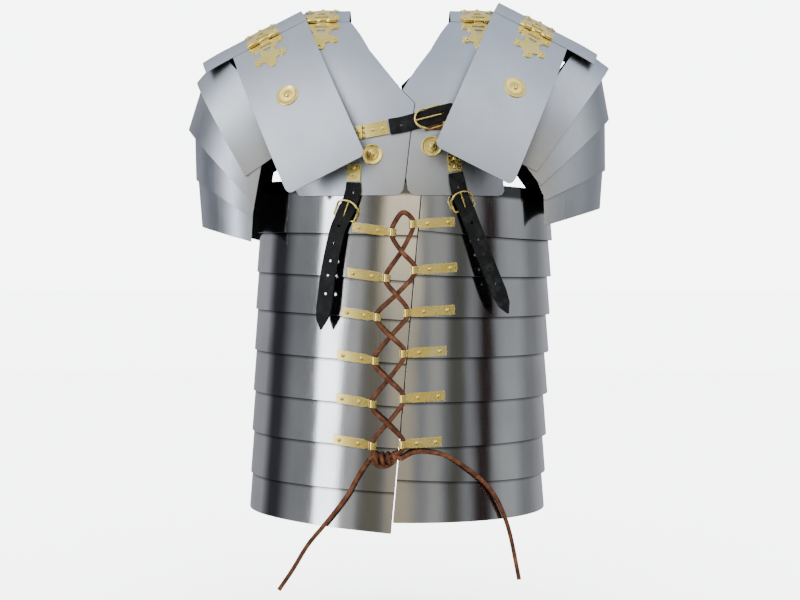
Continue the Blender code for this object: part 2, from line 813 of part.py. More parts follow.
# Free ends of the lace from the knot: x, z and lift; past the hem they hang straight on
LACE_LEFT = (
    (-36.6, -561.0, 10.8),
    (-50.0, -582.0, 5.0),
    (-62.0, -604.0, 4.0),
    (-76.0, -624.0, 4.0),
    (-92.0, -645.0, 4.5),
    (-112.0, -671.0, 5.0),
    (-131.0, -704.0, 5.0),
    (-148.0, -731.0, 5.0),
)
LACE_RIGHT = (
    (0.2, -560.4, 8.6),
    (17.0, -552.0, 9.0),
    (38.0, -553.0, 6.5),
    (60.0, -560.0, 5.0),
    (90.0, -582.0, 4.5),
    (110.0, -603.0, 4.5),
    (123.0, -627.0, 5.0),
    (134.0, -662.0, 6.0),
    (145.0, -718.0, 6.0),
)
HEM_HANG_Y = -100.0


def free_end(name, places):
    route = []
    for x, z, lift in smooth_path(places, LACE_STEP):
        point = girdle_place(x, z, lift)
        point.y = min(point.y, HEM_HANG_Y)
        route.append(point)
    tube(name, route)


free_end("lace_end_left", LACE_LEFT)
free_end("lace_end_right", LACE_RIGHT)


# Straps with their buckles and brass fittings
STRAP_THICK = 2.2
FITTING_THICK = 1.2
BAND_STEP = 7.0
BUCKLE_WIRE = 1.25
BUCKLE_HALF = 13.4
CHEST_BUCKLE_REACH = 19.0
DROP_BUCKLE_REACH = 11.0
BUCKLE_LIFT = 1.7
ARC_LIFT = 6.8
UNDER, OVER = 0.7, 3.4     # lift of a strap below its buckle's arc and of the end that lies over the bar


def band(name, side, stations, thick, look):
    """Strip on the front. A station is x, run, half width and lift of its underside."""
    skin = FRONT[side]
    places = smooth_path([(x, run, 0.0) for x, run, _, _ in stations], BAND_STEP)
    lengths = [0.0]
    for (x0, r0, _, _), (x1, r1, _, _) in zip(stations, stations[1:]):
        lengths.append(lengths[-1] + math.hypot(x1 - x0, r1 - r0))
    widths = [(length, station[2]) for length, station in zip(lengths, stations)]
    lifts = [(length, station[3]) for length, station in zip(lengths, stations)]
    frames = []
    gone = 0.0
    for index, place in enumerate(places):
        if index:
            gone += (place - places[index - 1]).length
        near, far = places[max(index - 1, 0)], places[min(index + 1, len(places) - 1)]
        run = skin.at(far.x, far.y) - skin.at(near.x, near.y)
        out = skin.normal(place.x, place.y)
        aside = out.cross(run.normalized()).normalized() * between(widths, gone)
        under = skin.at(place.x, place.y, between(lifts, gone))
        over = under + out * thick
        frames.append([under - aside, under + aside, over + aside, over - aside])
    return ribbon(name, frames, look)


def buckle(name, side, place, turn, reach):
    """Closed wire frame with a round end and a straight bar, turned in the plane of the front."""
    skin = FRONT[side]
    outline = []
    for number in range(13):
        angle = math.pi * number / 12
        outline.append((BUCKLE_HALF * math.cos(angle), reach * (0.1 + 0.9 * math.sin(angle)),
                        min(1.8 * math.sin(angle), 1.0)))
    corners = ((-1.0, -0.85), (-0.8, -1.0), (0.8, -1.0), (1.0, -0.85))
    outline += [(BUCKLE_HALF * across_share, reach * along_share, 0.0) for across_share, along_share in corners]
    points = []
    for across_way, along_way, share in outline:
        dx = across_way * math.cos(turn) + along_way * math.sin(turn)
        dr = across_way * math.sin(turn) - along_way * math.cos(turn)
        lift = BUCKLE_LIFT + (ARC_LIFT - BUCKLE_LIFT) * share
        points.append(skin.at(place[0] + dx, place[1] + dr, lift))
    return tube(name, points, "brass", BUCKLE_WIRE, closed=True)


CHEST_FITTING = (
    (-54.0, 229.0, 9.0, UNDER),
    (-34.0, 225.5, 9.0, UNDER),
    (-14.4, 222.0, 9.0, UNDER),
)
CHEST_STRAP = (
    (-13.0, 221.6, 10.0, UNDER),
    (4.0, 218.5, 10.0, UNDER),
    (20.0, 214.0, 10.0, 1.0),
    (38.0, 209.0, 10.0, 2.2),
    (52.0, 204.0, 10.0, OVER),
    (64.0, 198.0, 7.5, OVER),
    (72.0, 194.0, 0.8, OVER),
)
CHEST_BUCKLE = (36.5, 210.5)

# Drop straps: the free ends stand off the girdle
DROP_FITTING = {
    -1: ((-56.0, 268.0, 8.5, UNDER), (-56.5, 289.0, 8.5, UNDER)),
    1: ((66.0, 256.0, 8.5, UNDER), (67.5, 277.0, 8.5, UNDER)),
}
DROP_STRAP = {
    -1: (
        (-56.6, 290.2, 9.0, UNDER),
        (-57.5, 303.0, 10.0, UNDER),
        (-62.0, 318.0, 10.0, 1.3),
        (-69.0, 334.0, 10.0, OVER),
        (-75.0, 350.0, 10.0, 5.0),
        (-80.0, 378.0, 10.0, 9.0),
        (-84.0, 408.0, 10.0, 12.5),
        (-87.0, 444.0, 10.0, 15.5),
        (-89.0, 458.0, 8.0, 16.3),
        (-90.0, 471.0, 0.8, 17.0),
    ),
    1: (
        (67.8, 278.6, 9.0, UNDER),
        (70.0, 290.0, 10.0, UNDER),
        (73.5, 306.0, 10.0, 1.3),
        (80.0, 323.0, 10.0, OVER),
        (86.0, 340.0, 10.0, 5.0),
        (94.0, 364.0, 10.0, 9.0),
        (104.0, 396.0, 10.0, 13.0),
        (114.0, 425.0, 10.0, 16.5),
        (119.0, 440.0, 8.0, 18.0),
        (123.0, 451.0, 0.8, 19.0),
    ),
}
DROP_BUCKLE = {-1: (-64.5, 324.0), 1: (75.5, 313.0)}
DROP_TURN = {-1: math.radians(22), 1: math.radians(-20)}

band("strap_fitting_chest", -1, CHEST_FITTING, FITTING_THICK, "brass")
band("strap_chest", -1, CHEST_STRAP, STRAP_THICK, "black_leather")
buckle("buckle_chest", 1, CHEST_BUCKLE, math.radians(-107), CHEST_BUCKLE_REACH)
for name_of_side, sign in SIDES:
    band(f"strap_fitting_{name_of_side}", sign, DROP_FITTING[sign], FITTING_THICK, "brass")
    band(f"strap_{name_of_side}", sign, DROP_STRAP[sign], STRAP_THICK, "black_leather")
    buckle(f"buckle_{name_of_side}", sign, DROP_BUCKLE[sign], DROP_TURN[sign], DROP_BUCKLE_REACH)
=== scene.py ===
import math

import bmesh
import bpy
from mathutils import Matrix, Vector
from mathutils.geometry import delaunay_2d_cdt


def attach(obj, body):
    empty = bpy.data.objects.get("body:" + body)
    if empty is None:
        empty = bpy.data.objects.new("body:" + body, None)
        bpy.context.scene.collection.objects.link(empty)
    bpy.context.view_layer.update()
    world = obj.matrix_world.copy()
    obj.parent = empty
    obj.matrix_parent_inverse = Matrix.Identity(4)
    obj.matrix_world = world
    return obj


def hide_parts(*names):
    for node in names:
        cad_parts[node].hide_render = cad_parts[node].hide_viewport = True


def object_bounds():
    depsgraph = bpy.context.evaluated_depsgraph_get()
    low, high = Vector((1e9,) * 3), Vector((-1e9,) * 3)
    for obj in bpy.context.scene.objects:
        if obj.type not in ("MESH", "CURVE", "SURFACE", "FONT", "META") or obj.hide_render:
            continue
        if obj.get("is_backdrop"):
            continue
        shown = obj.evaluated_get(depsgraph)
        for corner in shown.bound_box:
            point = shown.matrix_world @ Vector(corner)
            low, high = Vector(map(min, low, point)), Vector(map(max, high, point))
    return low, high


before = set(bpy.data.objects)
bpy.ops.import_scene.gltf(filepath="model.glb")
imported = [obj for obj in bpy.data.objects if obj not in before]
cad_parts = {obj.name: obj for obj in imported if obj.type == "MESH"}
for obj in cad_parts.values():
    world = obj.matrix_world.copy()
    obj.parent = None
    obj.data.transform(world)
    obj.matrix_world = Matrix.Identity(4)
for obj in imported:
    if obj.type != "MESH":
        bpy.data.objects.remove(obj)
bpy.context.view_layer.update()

MM = 0.001
WALL = 1.2
NEST = 0.45
SIDES = (("left", -1), ("right", 1))

# Camera at the photo's place: level, 1.9 m in front, the horizon above the picture's middle
CAMERA_PLACE = (0.0, -1.9, -0.300)
CAMERA_LENS = 64.8
CAMERA_SHIFT_Y = -0.06875
FLOOR_Z = -0.80


def add_object(name, data):
    thing = bpy.data.objects.new(name, data)
    bpy.context.collection.objects.link(thing)
    return thing


def add_camera():
    data = bpy.data.cameras.new("camera")
    data.lens = CAMERA_LENS
    data.sensor_width = 36.0
    data.shift_y = CAMERA_SHIFT_Y
    data.dof.use_dof = False
    data.clip_end = 50.0
    camera = add_object("camera", data)
    camera.location = CAMERA_PLACE
    camera.rotation_euler = (math.radians(90), 0.0, 0.0)
    bpy.context.scene.camera = camera


add_camera()


# Node helpers for the materials
def new_material(name):
    made = bpy.data.materials.new(name)
    made.use_nodes = True
    return made, made.node_tree, made.node_tree.nodes["Principled BSDF"]


def fill(tree, node, **values):
    """Set a node's settings and inputs by name. An input given another node's socket is linked to it."""
    for key, value in values.items():
        title = key.replace("_", " ")
        if hasattr(node, key):
            setattr(node, key, value)
        elif isinstance(value, bpy.types.NodeSocket):
            tree.links.new(value, node.inputs[title])
        else:
            node.inputs[title].default_value = value
    return node


def add_node(tree, kind, **values):
    return fill(tree, tree.nodes.new(kind), **values)


def stretched(tree, scale):
    """Object-space coordinates stretched by a scale for each axis."""
    place = add_node(tree, "ShaderNodeTexCoord").outputs["Object"]
    return add_node(tree, "ShaderNodeMapping", Vector=place, Scale=scale).outputs["Vector"]


def noise(tree, place, scale, detail, roughness=0.55):
    node = add_node(tree, "ShaderNodeTexNoise", Vector=place, Scale=scale, Detail=detail, Roughness=roughness)
    return node.outputs["Fac"]


def ramp(tree, factor, stops):
    """Colour ramp from (place, colour) stops."""
    node = add_node(tree, "ShaderNodeValToRGB", Fac=factor)
    elements = node.color_ramp.elements
    while len(elements) < len(stops):
        elements.new(0.5)
    for element, (place, colour) in zip(elements, stops):
        element.position = place
        element.color = (*colour, 1.0)
    return node.outputs["Color"]


def spread(tree, factor, low, high):
    """Map a 0.3 to 0.7 noise onto low to high."""
    node = add_node(tree, "ShaderNodeMapRange", Value=factor, From_Min=0.3, From_Max=0.7,
                    To_Min=low, To_Max=high)
    return node.outputs["Result"]


def bump(tree, shader, height, strength, distance):
    node = add_node(tree, "ShaderNodeBump", Height=height, Strength=strength, Distance=distance)
    fill(tree, shader, Normal=node.outputs["Normal"])


def tarnish(tree, shader):
    """Paint shade onto the metal, darkening it where the mesh's attribute for that painted shade rises."""
    mark = add_node(tree, "ShaderNodeAttribute", attribute_name="tarnish")
    mix = add_node(tree, "ShaderNodeMix", data_type="RGBA")
    unshaded = shader.inputs["Base Color"].links[0].from_socket
    tree.links.new(mark.outputs["Fac"], mix.inputs[0])
    tree.links.new(unshaded, mix.inputs[6])
    # Near black colour of the painted shade
    mix.inputs[7].default_value = (0.03, 0.03, 0.035, 1.0)
    fill(tree, shader, Base_Color=mix.outputs[2])


WAVE_APART = 40.0          # how far apart the plates lie in the noise of their waves


def steel(name, colours, roughness, grain, wave=0.0):
    """Sheet steel with a fine brushed grain and a cloudy polish. Each plate has a wave of its own."""
    made, tree, shader = new_material(name)
    cloud = noise(tree, stretched(tree, (1.0, 1.0, 0.6)), 16.0, 5.0)
    streak = noise(tree, stretched(tree, grain), 1.0, 6.0, 0.7)
    fill(tree, shader, Metallic=1.0, Roughness=spread(tree, streak, *roughness),
         Base_Color=ramp(tree, cloud, ((0.3, colours[0]), (0.7, colours[1]))))
    bump(tree, shader, streak, 0.05, 0.0004)
    if wave:
        own = add_node(tree, "ShaderNodeObjectInfo")
        shift = add_node(tree, "ShaderNodeVectorMath", operation="ADD")
        apart = add_node(tree, "ShaderNodeMath", operation="MULTIPLY")
        apart.inputs[1].default_value = WAVE_APART
        tree.links.new(own.outputs["Random"], apart.inputs[0])
        tree.links.new(stretched(tree, (9.0, 9.0, 1.5)), shift.inputs[0])
        tree.links.new(apart.outputs["Value"], shift.inputs[1])
        swell = add_node(tree, "ShaderNodeBump", Height=noise(tree, shift.outputs["Vector"], 1.6, 1.5),
                         Strength=1.0, Distance=wave)
        fill(tree, shader.inputs["Normal"].links[0].from_node, Normal=swell.outputs["Normal"])
    return made


def brass(name):
    made, tree, shader = new_material(name)
    place = stretched(tree, (1, 1, 1))
    cloud = noise(tree, place, 45.0, 3.0)
    tones = ((0.2, (0.94, 0.67, 0.14)), (0.5, (0.98, 0.76, 0.21)), (0.8, (1.00, 0.85, 0.33)))
    scratch = noise(tree, place, 900.0, 3.0)
    fill(tree, shader, Metallic=0.97, Base_Color=ramp(tree, cloud, tones),
         Roughness=spread(tree, scratch, 0.18, 0.30))
    bump(tree, shader, scratch, 0.03, 0.0001)
    return made


def leather(name, tones, roughness, shine, grain_scale, depth):
    made, tree, shader = new_material(name)
    place = stretched(tree, (1, 1, 1))
    cloud = noise(tree, place, 90.0, 6.0, 0.65)
    fill(tree, shader, Base_Color=ramp(tree, cloud, tuple(zip((0.28, 0.5, 0.74), tones))),
         Roughness=spread(tree, cloud, *roughness), Specular_IOR_Level=shine)
    pores = add_node(tree, "ShaderNodeTexVoronoi", Vector=place, Scale=grain_scale)
    bump(tree, shader, pores.outputs["Distance"], 0.35, depth)
    return made


POLISHED = steel("girdle_steel", ((0.60, 0.60, 0.60), (0.76, 0.76, 0.75)), (0.07, 0.15),
                 (900.0, 900.0, 6.0), 0.0012)
# Polished hoops get painted shade just below the edge of the hoop above
tarnish(POLISHED.node_tree, POLISHED.node_tree.nodes["Principled BSDF"])
SATIN = steel("shoulder_steel", ((0.60, 0.635, 0.68), (0.70, 0.735, 0.78)), (0.36, 0.50),
              (500.0, 500.0, 30.0), 0.0006)
# Near black steel for the plates' inside faces and the hoops' rims: painted shade for the hollow inside and
# the gaps between plates
SHADED_INSIDE = steel("blackened_inside", ((0.020, 0.021, 0.023), (0.045, 0.046, 0.05)), (0.45, 0.65),
               (300.0, 300.0, 40.0))
BRASS = brass("yellow_brass")
BLACK = leather("black_leather", ((0.0008, 0.0008, 0.0009), (0.0018, 0.0018, 0.002), (0.005, 0.005, 0.0055)),
                (0.45, 0.66), 0.14, 1400.0, 0.0003)
BROWN = leather("brown_leather", ((0.012, 0.0030, 0.0008), (0.030, 0.0085, 0.0022), (0.060, 0.020, 0.006)),
                (0.45, 0.66), 0.10, 1800.0, 0.0003)
SLOTS = {"girdle_steel": POLISHED, "shoulder_steel": SATIN, "brass": BRASS,
         "strap_leather": BLACK, "lace_leather": BROWN}


def place_piece(name, data, look, body="root", nodes=()):
    """Link a mesh or curve as a piece with its finish, on its body, in place of its nodes."""
    thing = add_object(name, data)
    data.materials.clear()
    data.materials.append(SLOTS[look])
    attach(thing, body)
    if nodes:
        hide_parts(*nodes)
    return thing


def make_mesh(name, points, faces, smooth=40.0):
    mesh = bpy.data.meshes.new(name)
    mesh.from_pydata([p * MM for p in points], [], faces)
    work = bmesh.new()
    work.from_mesh(mesh)
    bmesh.ops.recalc_face_normals(work, faces=work.faces)
    work.to_mesh(mesh)
    work.free()
    mesh.shade_smooth()
    mesh.set_sharp_from_angle(angle=math.radians(smooth))
    return mesh


def round_edges(thing, width):
    edge = thing.modifiers.new("round_edges", "BEVEL")
    edge.width = width * MM
    edge.segments = 2
    edge.limit_method = "ANGLE"
    edge.angle_limit = math.radians(50)
    edge.harden_normals = True


def share_between(value, start, end):
    return min(max((value - start) / (end - start), 0.0), 1.0)


def between(table, value):
    for low, high in zip(table, table[1:]):
        if value <= high[0]:
            return low[1] + share_between(value, low[0], high[0]) * (high[1] - low[1])
    return table[-1][1]


def refine(table, step):
    rows = [table[0]]
    for low, high in zip(table, table[1:]):
        count = math.ceil((high[0] - low[0]) / step)
        for part in range(1, count + 1):
            rows.append(tuple(a + (b - a) * part / count for a, b in zip(low, high)))
    return rows


def curve_between(before, start, end, after, t):
    return 0.5 * ((2 * start) + (end - before) * t
                  + (2 * before - 5 * start + 4 * end - after) * t * t
                  + (3 * start - before - 3 * end + after) * t ** 3)


def smooth_path(points, step):
    """Points on a smooth curve through the given ones, about a step apart, the given ones kept."""
    points = [Vector(p) for p in points]
    ends = [2 * points[0] - points[1]] + points + [2 * points[-1] - points[-2]]
    path = []
    for before, start, end, after in zip(ends, ends[1:], ends[2:], ends[3:]):
        count = max(1, round((end - start).length / step))
        path += [curve_between(before, start, end, after, part / count) for part in range(count)]
    return path + [points[-1]]


class Skin:
    """A surface given by a function of two numbers, with a point that lies inside it."""

    def __init__(self, function, core):
        self.function = function
        self.core = Vector(core)

    def normal(self, u, v):
        step = 0.01
        along_u = self.function(u + step, v) - self.function(u - step, v)
        along_v = self.function(u, v + step) - self.function(u, v - step)
        out = along_u.cross(along_v).normalized()
        if out.dot(self.function(u, v) - self.core) < 0:
            out = -out
        return out

    def at(self, u, v, lift=0.0):
        point = self.function(u, v)
        if lift:
            point = point + self.normal(u, v) * lift
        return point


def plate_mesh(name, rows, skin):
    """Closed plate on a skin. Each row lists the (u, v) places across it, all rows alike."""
    wide = len(rows[0])
    upper = [skin.at(u, v) for row in rows for u, v in row]
    lower = [skin.at(u, v, -WALL) for row in rows for u, v in row]
    under = len(upper)
    faces = []
    for row in range(len(rows) - 1):
        for column in range(wide - 1):
            a = row * wide + column
            faces.append(tuple(under + corner for corner in (a + wide, a + wide + 1, a + 1, a)))
    inner = len(faces)
    faces += [tuple(corner - under for corner in reversed(face)) for face in faces]
    last = (len(rows) - 1) * wide
    rim = [*range(wide), *range(2 * wide - 1, last + wide, wide),
           *range(last + wide - 2, last - 1, -1), *range(last - wide, 0, -wide)]
    for a, b in zip(rim, rim[1:] + rim[:1]):
        faces.append((b, a, under + a, under + b))
    return make_mesh(name, upper + lower, faces), inner


def steel_plate(node, rows, skin, look, body="root", dark_rim=False):
    """Plate in place of a node, its inside faces painted near black as shade and on demand its rim painted so
    too.
    """
    mesh, inner = plate_mesh(node + "_plate", rows, skin)
    thing = place_piece(node + "_plate", mesh, look, body, (node,))
    mesh.materials.append(SHADED_INSIDE)
    # Inside faces, and on demand the rim, take the near black painted shade
    for index, face in enumerate(mesh.polygons):
        if index < inner or (dark_rim and index >= 2 * inner):
            face.material_index = 1
    round_edges(thing, 0.35)
    return thing


# Girdle: half hoops round an oval trunk
HALF_WIDTH = 193.5
HALF_DEPTH = 140.0
HOOP_HEIGHT = 65.0
FLARE_FRONT = 2.2
FLARE_SIDE = 2.8
FRONT_GAP = 1.0
BACK_GAP = 5.0
FRONT_SLOPE = 1.5
SEAM_TOP, SEAM_BOTTOM = 22.0, -9.5
CENTRE_TOP, CENTRE_BOTTOM = 7.0, -4.0
GIRDLE_TOP, GIRDLE_FOOT = -284.0, -642.0
HOOPS = (
    (-284, -288, -294, -280),
    (-335, -344, -341, -336),
    (-383, -392, -390, -388),
    (-436, -445, -439, -438),
    (-489, -498, -493, -493),
    (-541, -549, -547, -549),
    (-596, -603, -595, -587),
    (-642, -654, -642, -640),
)


def girdle_centre(z):
    share = share_between(z, GIRDLE_TOP, GIRDLE_FOOT)
    return CENTRE_TOP + (CENTRE_BOTTOM - CENTRE_TOP) * share


def seam_x(z):
    share = (GIRDLE_TOP - z) / (GIRDLE_TOP - GIRDLE_FOOT)
    return SEAM_TOP + (SEAM_BOTTOM - SEAM_TOP) * share


def edge_height(edge, angle):
    """Height of a hoop's edge, which goes from its side height to its height at the seam."""
    share = (1 - math.sin(angle)) ** FRONT_SLOPE if angle < math.pi / 2 else 0.0
    return edge[0] + (edge[1] - edge[0]) * share


def hoop_point(side, edge, angle, down):
    """A hoop's outer face, by angle from the front and 0 at its top rim to 1 at its lower edge."""
    inset = (FLARE_FRONT + FLARE_SIDE * math.sin(angle)) * (1 - down)
    out = Vector((side * math.sin(angle) * HALF_DEPTH, -math.cos(angle) * HALF_WIDTH, 0.0)).normalized()
    place = Vector((girdle_centre(edge[0]) + side * HALF_WIDTH * math.sin(angle),
                    -HALF_DEPTH * math.cos(angle), edge_height(edge, angle) + HOOP_HEIGHT * (1 - down)))
    return place - out * inset


# Drop below the edge of the hoop above, and how dark the painted shade is that lies there under that edge
PAINTED_EDGE_SHADE = ((-2.0, 0.9), (0.6, 0.85), (1.9, 0.5), (4.5, 0.0))
COVERED = 13.0             # how much of the first hoop the breastplates cover
HOOP_STEPS = 88


def below_edge(edge, above, angle, drop):
    """Place down a hoop that lies a drop below the edge of the hoop above it."""
    covered = edge_height(above, angle) - edge_height(edge, angle) if above else HOOP_HEIGHT - COVERED
    return 1 - (covered - drop) / HOOP_HEIGHT


def make_hoop(side_name, side, number, edge, above):
    skin = Skin(lambda angle, down: hoop_point(side, edge, angle, down), (0, 0, edge[0]))
    last = math.pi - math.asin(BACK_GAP / 2 / HALF_WIDTH)
    turns = [last * step / HOOP_STEPS for step in range(HOOP_STEPS + 1)]
    levels = [(PAINTED_EDGE_SHADE[0][1], [0.0] * len(turns))]
    levels += [(mark, [below_edge(edge, above, turn, drop) for turn in turns]) for drop, mark in PAINTED_EDGE_SHADE]
    levels += [(0.0, [down] * len(turns)) for down in (0.6, 1.0)]
    rows = [[] for _ in levels]
    for row, (_, level) in zip(rows, levels):
        for step, down in enumerate(level):
            z = edge[1] + HOOP_HEIGHT * (1 - down)
            first = math.asin((side * (seam_x(z) - girdle_centre(edge[0])) + FRONT_GAP / 2) / HALF_WIDTH)
            row.append((first + (last - first) * step / HOOP_STEPS, down))
    marks = [mark for mark, level in levels for _ in level]
    # Rim painted near black as shade along the hoop's edges
    plate = steel_plate(f"girdle_hoop_{number}_{side_name}", rows, skin, "girdle_steel", dark_rim=True)
    # Painted shade under the upper hoop's edge, stored for each point
    layer = plate.data.color_attributes.new("tarnish", "FLOAT_COLOR", "POINT")
    for item, mark in zip(layer.data, marks + marks):
        item.color = (mark, mark, mark, 1.0)


for hoop_number, (heights, over) in enumerate(zip(HOOPS, ((), *HOOPS)), 1):
    make_hoop("left", -1, hoop_number, heights[0:2], over[0:2])
    make_hoop("right", 1, hoop_number, heights[2:4], over[2:4])


# Pieces cut from sheet: an outline with holes, laid on a surface
def inside(spot, loop):
    x, y = spot
    hit = False
    for (x0, y0), (x1, y1) in zip(loop, loop[1:] + loop[:1]):
        if (y0 > y) != (y1 > y) and x < x0 + (y - y0) * (x1 - x0) / (y1 - y0):
            hit = not hit
    return hit


def dense(loop, step):
    made = []
    for (x0, y0), (x1, y1) in zip(loop, loop[1:] + loop[:1]):
        count = max(1, math.ceil(math.hypot(x1 - x0, y1 - y0) / step))
        made += [(x0 + (x1 - x0) * part / count, y0 + (y1 - y0) * part / count) for part in range(count)]
    return made


def circle(x, y, radius, sides=14):
    return [(x + radius * math.cos(2 * math.pi * n / sides), y + radius * math.sin(2 * math.pi * n / sides))
            for n in range(sides)]


def arc(x, y, radius, start, end, steps):
    turns = [math.radians(start + (end - start) * n / steps) for n in range(steps + 1)]
    return [(x + radius * math.cos(turn), y + radius * math.sin(turn)) for turn in turns]


def cut_sheet(name, outline, holes, place, bottom, top, grid):
    """Closed sheet with holes. place gives the point for a spot of the flat outline and a lift."""
    def in_sheet(spot):
        return inside(spot, loops[0]) and not any(inside(spot, hole) for hole in holes)

    loops = [dense(outline, grid), *holes]
    spots, edges = [], []
    for loop in loops:
        first = len(spots)
        spots += loop
        edges += [(first + n, first + (n + 1) % len(loop)) for n in range(len(loop))]
    border = list(spots)
    left, right = min(x for x, _ in loops[0]), max(x for x, _ in loops[0])
    low, high = min(y for _, y in loops[0]), max(y for _, y in loops[0])
    for column in range(1, int((right - left) / grid) + 1):
        for row in range(1, int((high - low) / grid) + 1):
            spot = (left + column * grid, low + row * grid)
            if in_sheet(spot) and min(math.dist(spot, other) for other in border) > 0.45 * grid:
                spots.append(spot)
    flat, _, found, *_ = delaunay_2d_cdt([Vector(spot) for spot in spots], edges, [], 0, 1e-6)
    keep = [tuple(face) for face in found
            if in_sheet(sum((flat[corner] for corner in face), Vector((0.0, 0.0))) / len(face))]
    upper = [place(x, y, top) for x, y in flat]
    lower = [place(x, y, bottom) for x, y in flat]
    under = len(upper)
    uses = {}
    for face in keep:
        for a, b in zip(face, face[1:] + face[:1]):
            uses.setdefault((min(a, b), max(a, b)), []).append((a, b))
    faces = keep + [tuple(under + corner for corner in reversed(face)) for face in keep]
    faces += [(sides[0][1], sides[0][0], under + sides[0][0], under + sides[0][1])
              for sides in uses.values() if len(sides) == 1]
    return make_mesh(name, upper + lower, faces)


def ring(centre, across_way, other_way, radius, sides):
    turns = [2 * math.pi * number / sides for number in range(sides)]
    return [centre + (across_way * math.cos(turn) + other_way * math.sin(turn)) * radius for turn in turns]


def add_rings(points, faces, rings, tips=None):
    """Skin rings that follow each other, closed by a fan to the first and last tip or else flat."""
    first, sides = len(points), len(rings[0])
    last = first + (len(rings) - 1) * sides
    for spots in rings:
        points += spots
    for low in range(first, last, sides):
        for number in range(sides):
            near = (number + 1) % sides
            faces.append((low + number, low + near, low + sides + near, low + sides + number))
    if tips:
        for number in range(sides):
            near = (number + 1) % sides
            faces.append((first + near, first + number, len(points)))
            faces.append((last + number, last + near, len(points) + 1))
        points += tips
    else:
        faces.append(tuple(range(first, first + sides)))
        faces.append(tuple(range(last + sides - 1, last - 1, -1)))


# Domed rivet head: share of the radius, and lift as a share of it
STUD = ((1.0, -0.15), (1.0, 0.12), (0.9, 0.34), (0.68, 0.55), (0.36, 0.68))
STUD_FOOT, STUD_TOP = -0.15, 0.72
STUD_SIDES = 18


def studs(name, place, lift, spots, body="root"):
    """Domed heads as one mesh. A spot is two numbers and a radius, and place and lift say where it lies."""
    points, faces = [], []
    for u, v, radius in spots:
        centre = place(u, v, lift)
        out = (place(u, v, lift + 1) - centre).normalized()
        across_way = out.orthogonal().normalized()
        other_way = out.cross(across_way)
        rings = [ring(centre + out * rise * radius, across_way, other_way, share * radius, STUD_SIDES)
                 for share, rise in STUD]
        add_rings(points, faces, rings, [centre + out * tip * radius for tip in (STUD_FOOT, STUD_TOP)])
    place_piece(name, make_mesh(name, points, faces, 60.0), "brass", body)


def strip(name, stations, body="root"):
    """Closed strip through stations of four corners."""
    points, faces = [], []
    add_rings(points, faces, stations)
    round_edges(place_piece(name, make_mesh(name, points, faces), "brass", body), 0.15)


def bar(name, start, end, radius, body="root", cap=0.0):
    """Round bar with softened ends."""
    axis = (end - start).normalized()
    side = axis.orthogonal().normalized()
    soft = min(0.5, radius * 0.3)
    stations = ((start - axis * cap, radius - soft), (start + axis * soft, radius),
                (end - axis * soft, radius), (end + axis * cap, radius - soft))
    points, faces = [], []
    add_rings(points, faces, [ring(place, side, axis.cross(side), size, 24) for place, size in stations])
    place_piece(name, make_mesh(name, points, faces, 50.0), "brass", body)


# Turned boss: share of the radius and lift, over a raised rim and a sunk ring to a small dome
BOSS = ((1.0, -0.2), (1.0, 0.9), (0.96, 1.35), (0.90, 1.4), (0.85, 1.1), (0.81, 0.75), (0.50, 0.7),
        (0.40, 0.9), (0.34, 1.0), (0.27, 1.1), (0.25, 1.9), (0.17, 2.7), (0.08, 3.0))
BOSS_FOOT, BOSS_TOP = -0.2, 3.05


def boss(name, skin, x, run, radius, body="root"):
    rings = [[skin.at(u, v, lift) for u, v in circle(x, run, radius * share, 56)] for share, lift in BOSS]
    points, faces = [], []
    add_rings(points, faces, rings, [skin.at(x, run, lift) for lift in (BOSS_FOOT, BOSS_TOP)])
    place_piece(name, make_mesh(name, points, faces, 60.0), "brass", body)


# Hinges: a lobed, pierced leaf each way from a barrel of knuckles
BARREL_RADIUS = 2.7
BARREL_LIFT = 3.3
BARREL_HALF = 21.8
PIN_RADIUS, PIN_HALF = 1.5, 23.0
KNUCKLE_HALF = 6.5
KNUCKLE_GAP = 0.5
LEAF_TOP = 1.5
LEAF_RIVET = 2.3
LEAF_WIDEN, LEAF_LENGTHEN = 1.09, 1.13    # the leaf's outline is drawn smaller than it is laid
GUARD_HINGE_U = 60.5
YOKE_HINGE_X = 101.0
YOKE_THIRD = 19.0 / 3
YOKE_KNUCKLES = ((-3 * YOKE_THIRD, -YOKE_THIRD - 0.2), (-YOKE_THIRD + 0.2, YOKE_THIRD - 0.2),
                 (YOKE_THIRD + 0.2, 3 * YOKE_THIRD))
HALF_LEAF = ([(20.5, 3.0), (21.3, 5.5)] + arc(17.2, 8.6, 4.3, -20, 110, 7)
             + [(13.2, 14.0), (10.6, 16.8), (9.4, 20.2), (9.6, 23.6), (11.0, 26.2)]
             + arc(15.4, 30.4, 5.2, -125, 140, 13) + [(8.6, 34.6), (6.0, 35.4)]
             + arc(0.0, 39.4, 5.8, -28, 84, 7))
LEAF_HOLES = ([(-8.2, 8.9), (-7.2, 7.6), (7.2, 7.6), (8.2, 8.9), (7.2, 11.0), (-7.2, 11.0)],
              [(-5.6, 14.2), (5.6, 14.2), (3.2, 20.2), (-3.2, 20.2)])
LEAF_STUDS = ((-17.0, 8.6), (17.0, 8.6), (-15.4, 30.4), (15.4, 30.4), (0.0, 39.6))


def make_leaf(name, skin, middle, seam, away, body="root"):
    outline = HALF_LEAF + [(-x, y) for x, y in reversed(HALF_LEAF)]

    def place(x, y, lift):
        return skin.at(middle + x * LEAF_WIDEN, seam + away * y * LEAF_LENGTHEN, lift)

    sheet = cut_sheet(name, outline, LEAF_HOLES, place, 0.0, LEAF_TOP, 3.2)
    round_edges(place_piece(name, sheet, "brass", body), 0.2)
    studs(name + "_rivets", place, LEAF_TOP, [(x, y, LEAF_RIVET) for x, y in LEAF_STUDS], body)


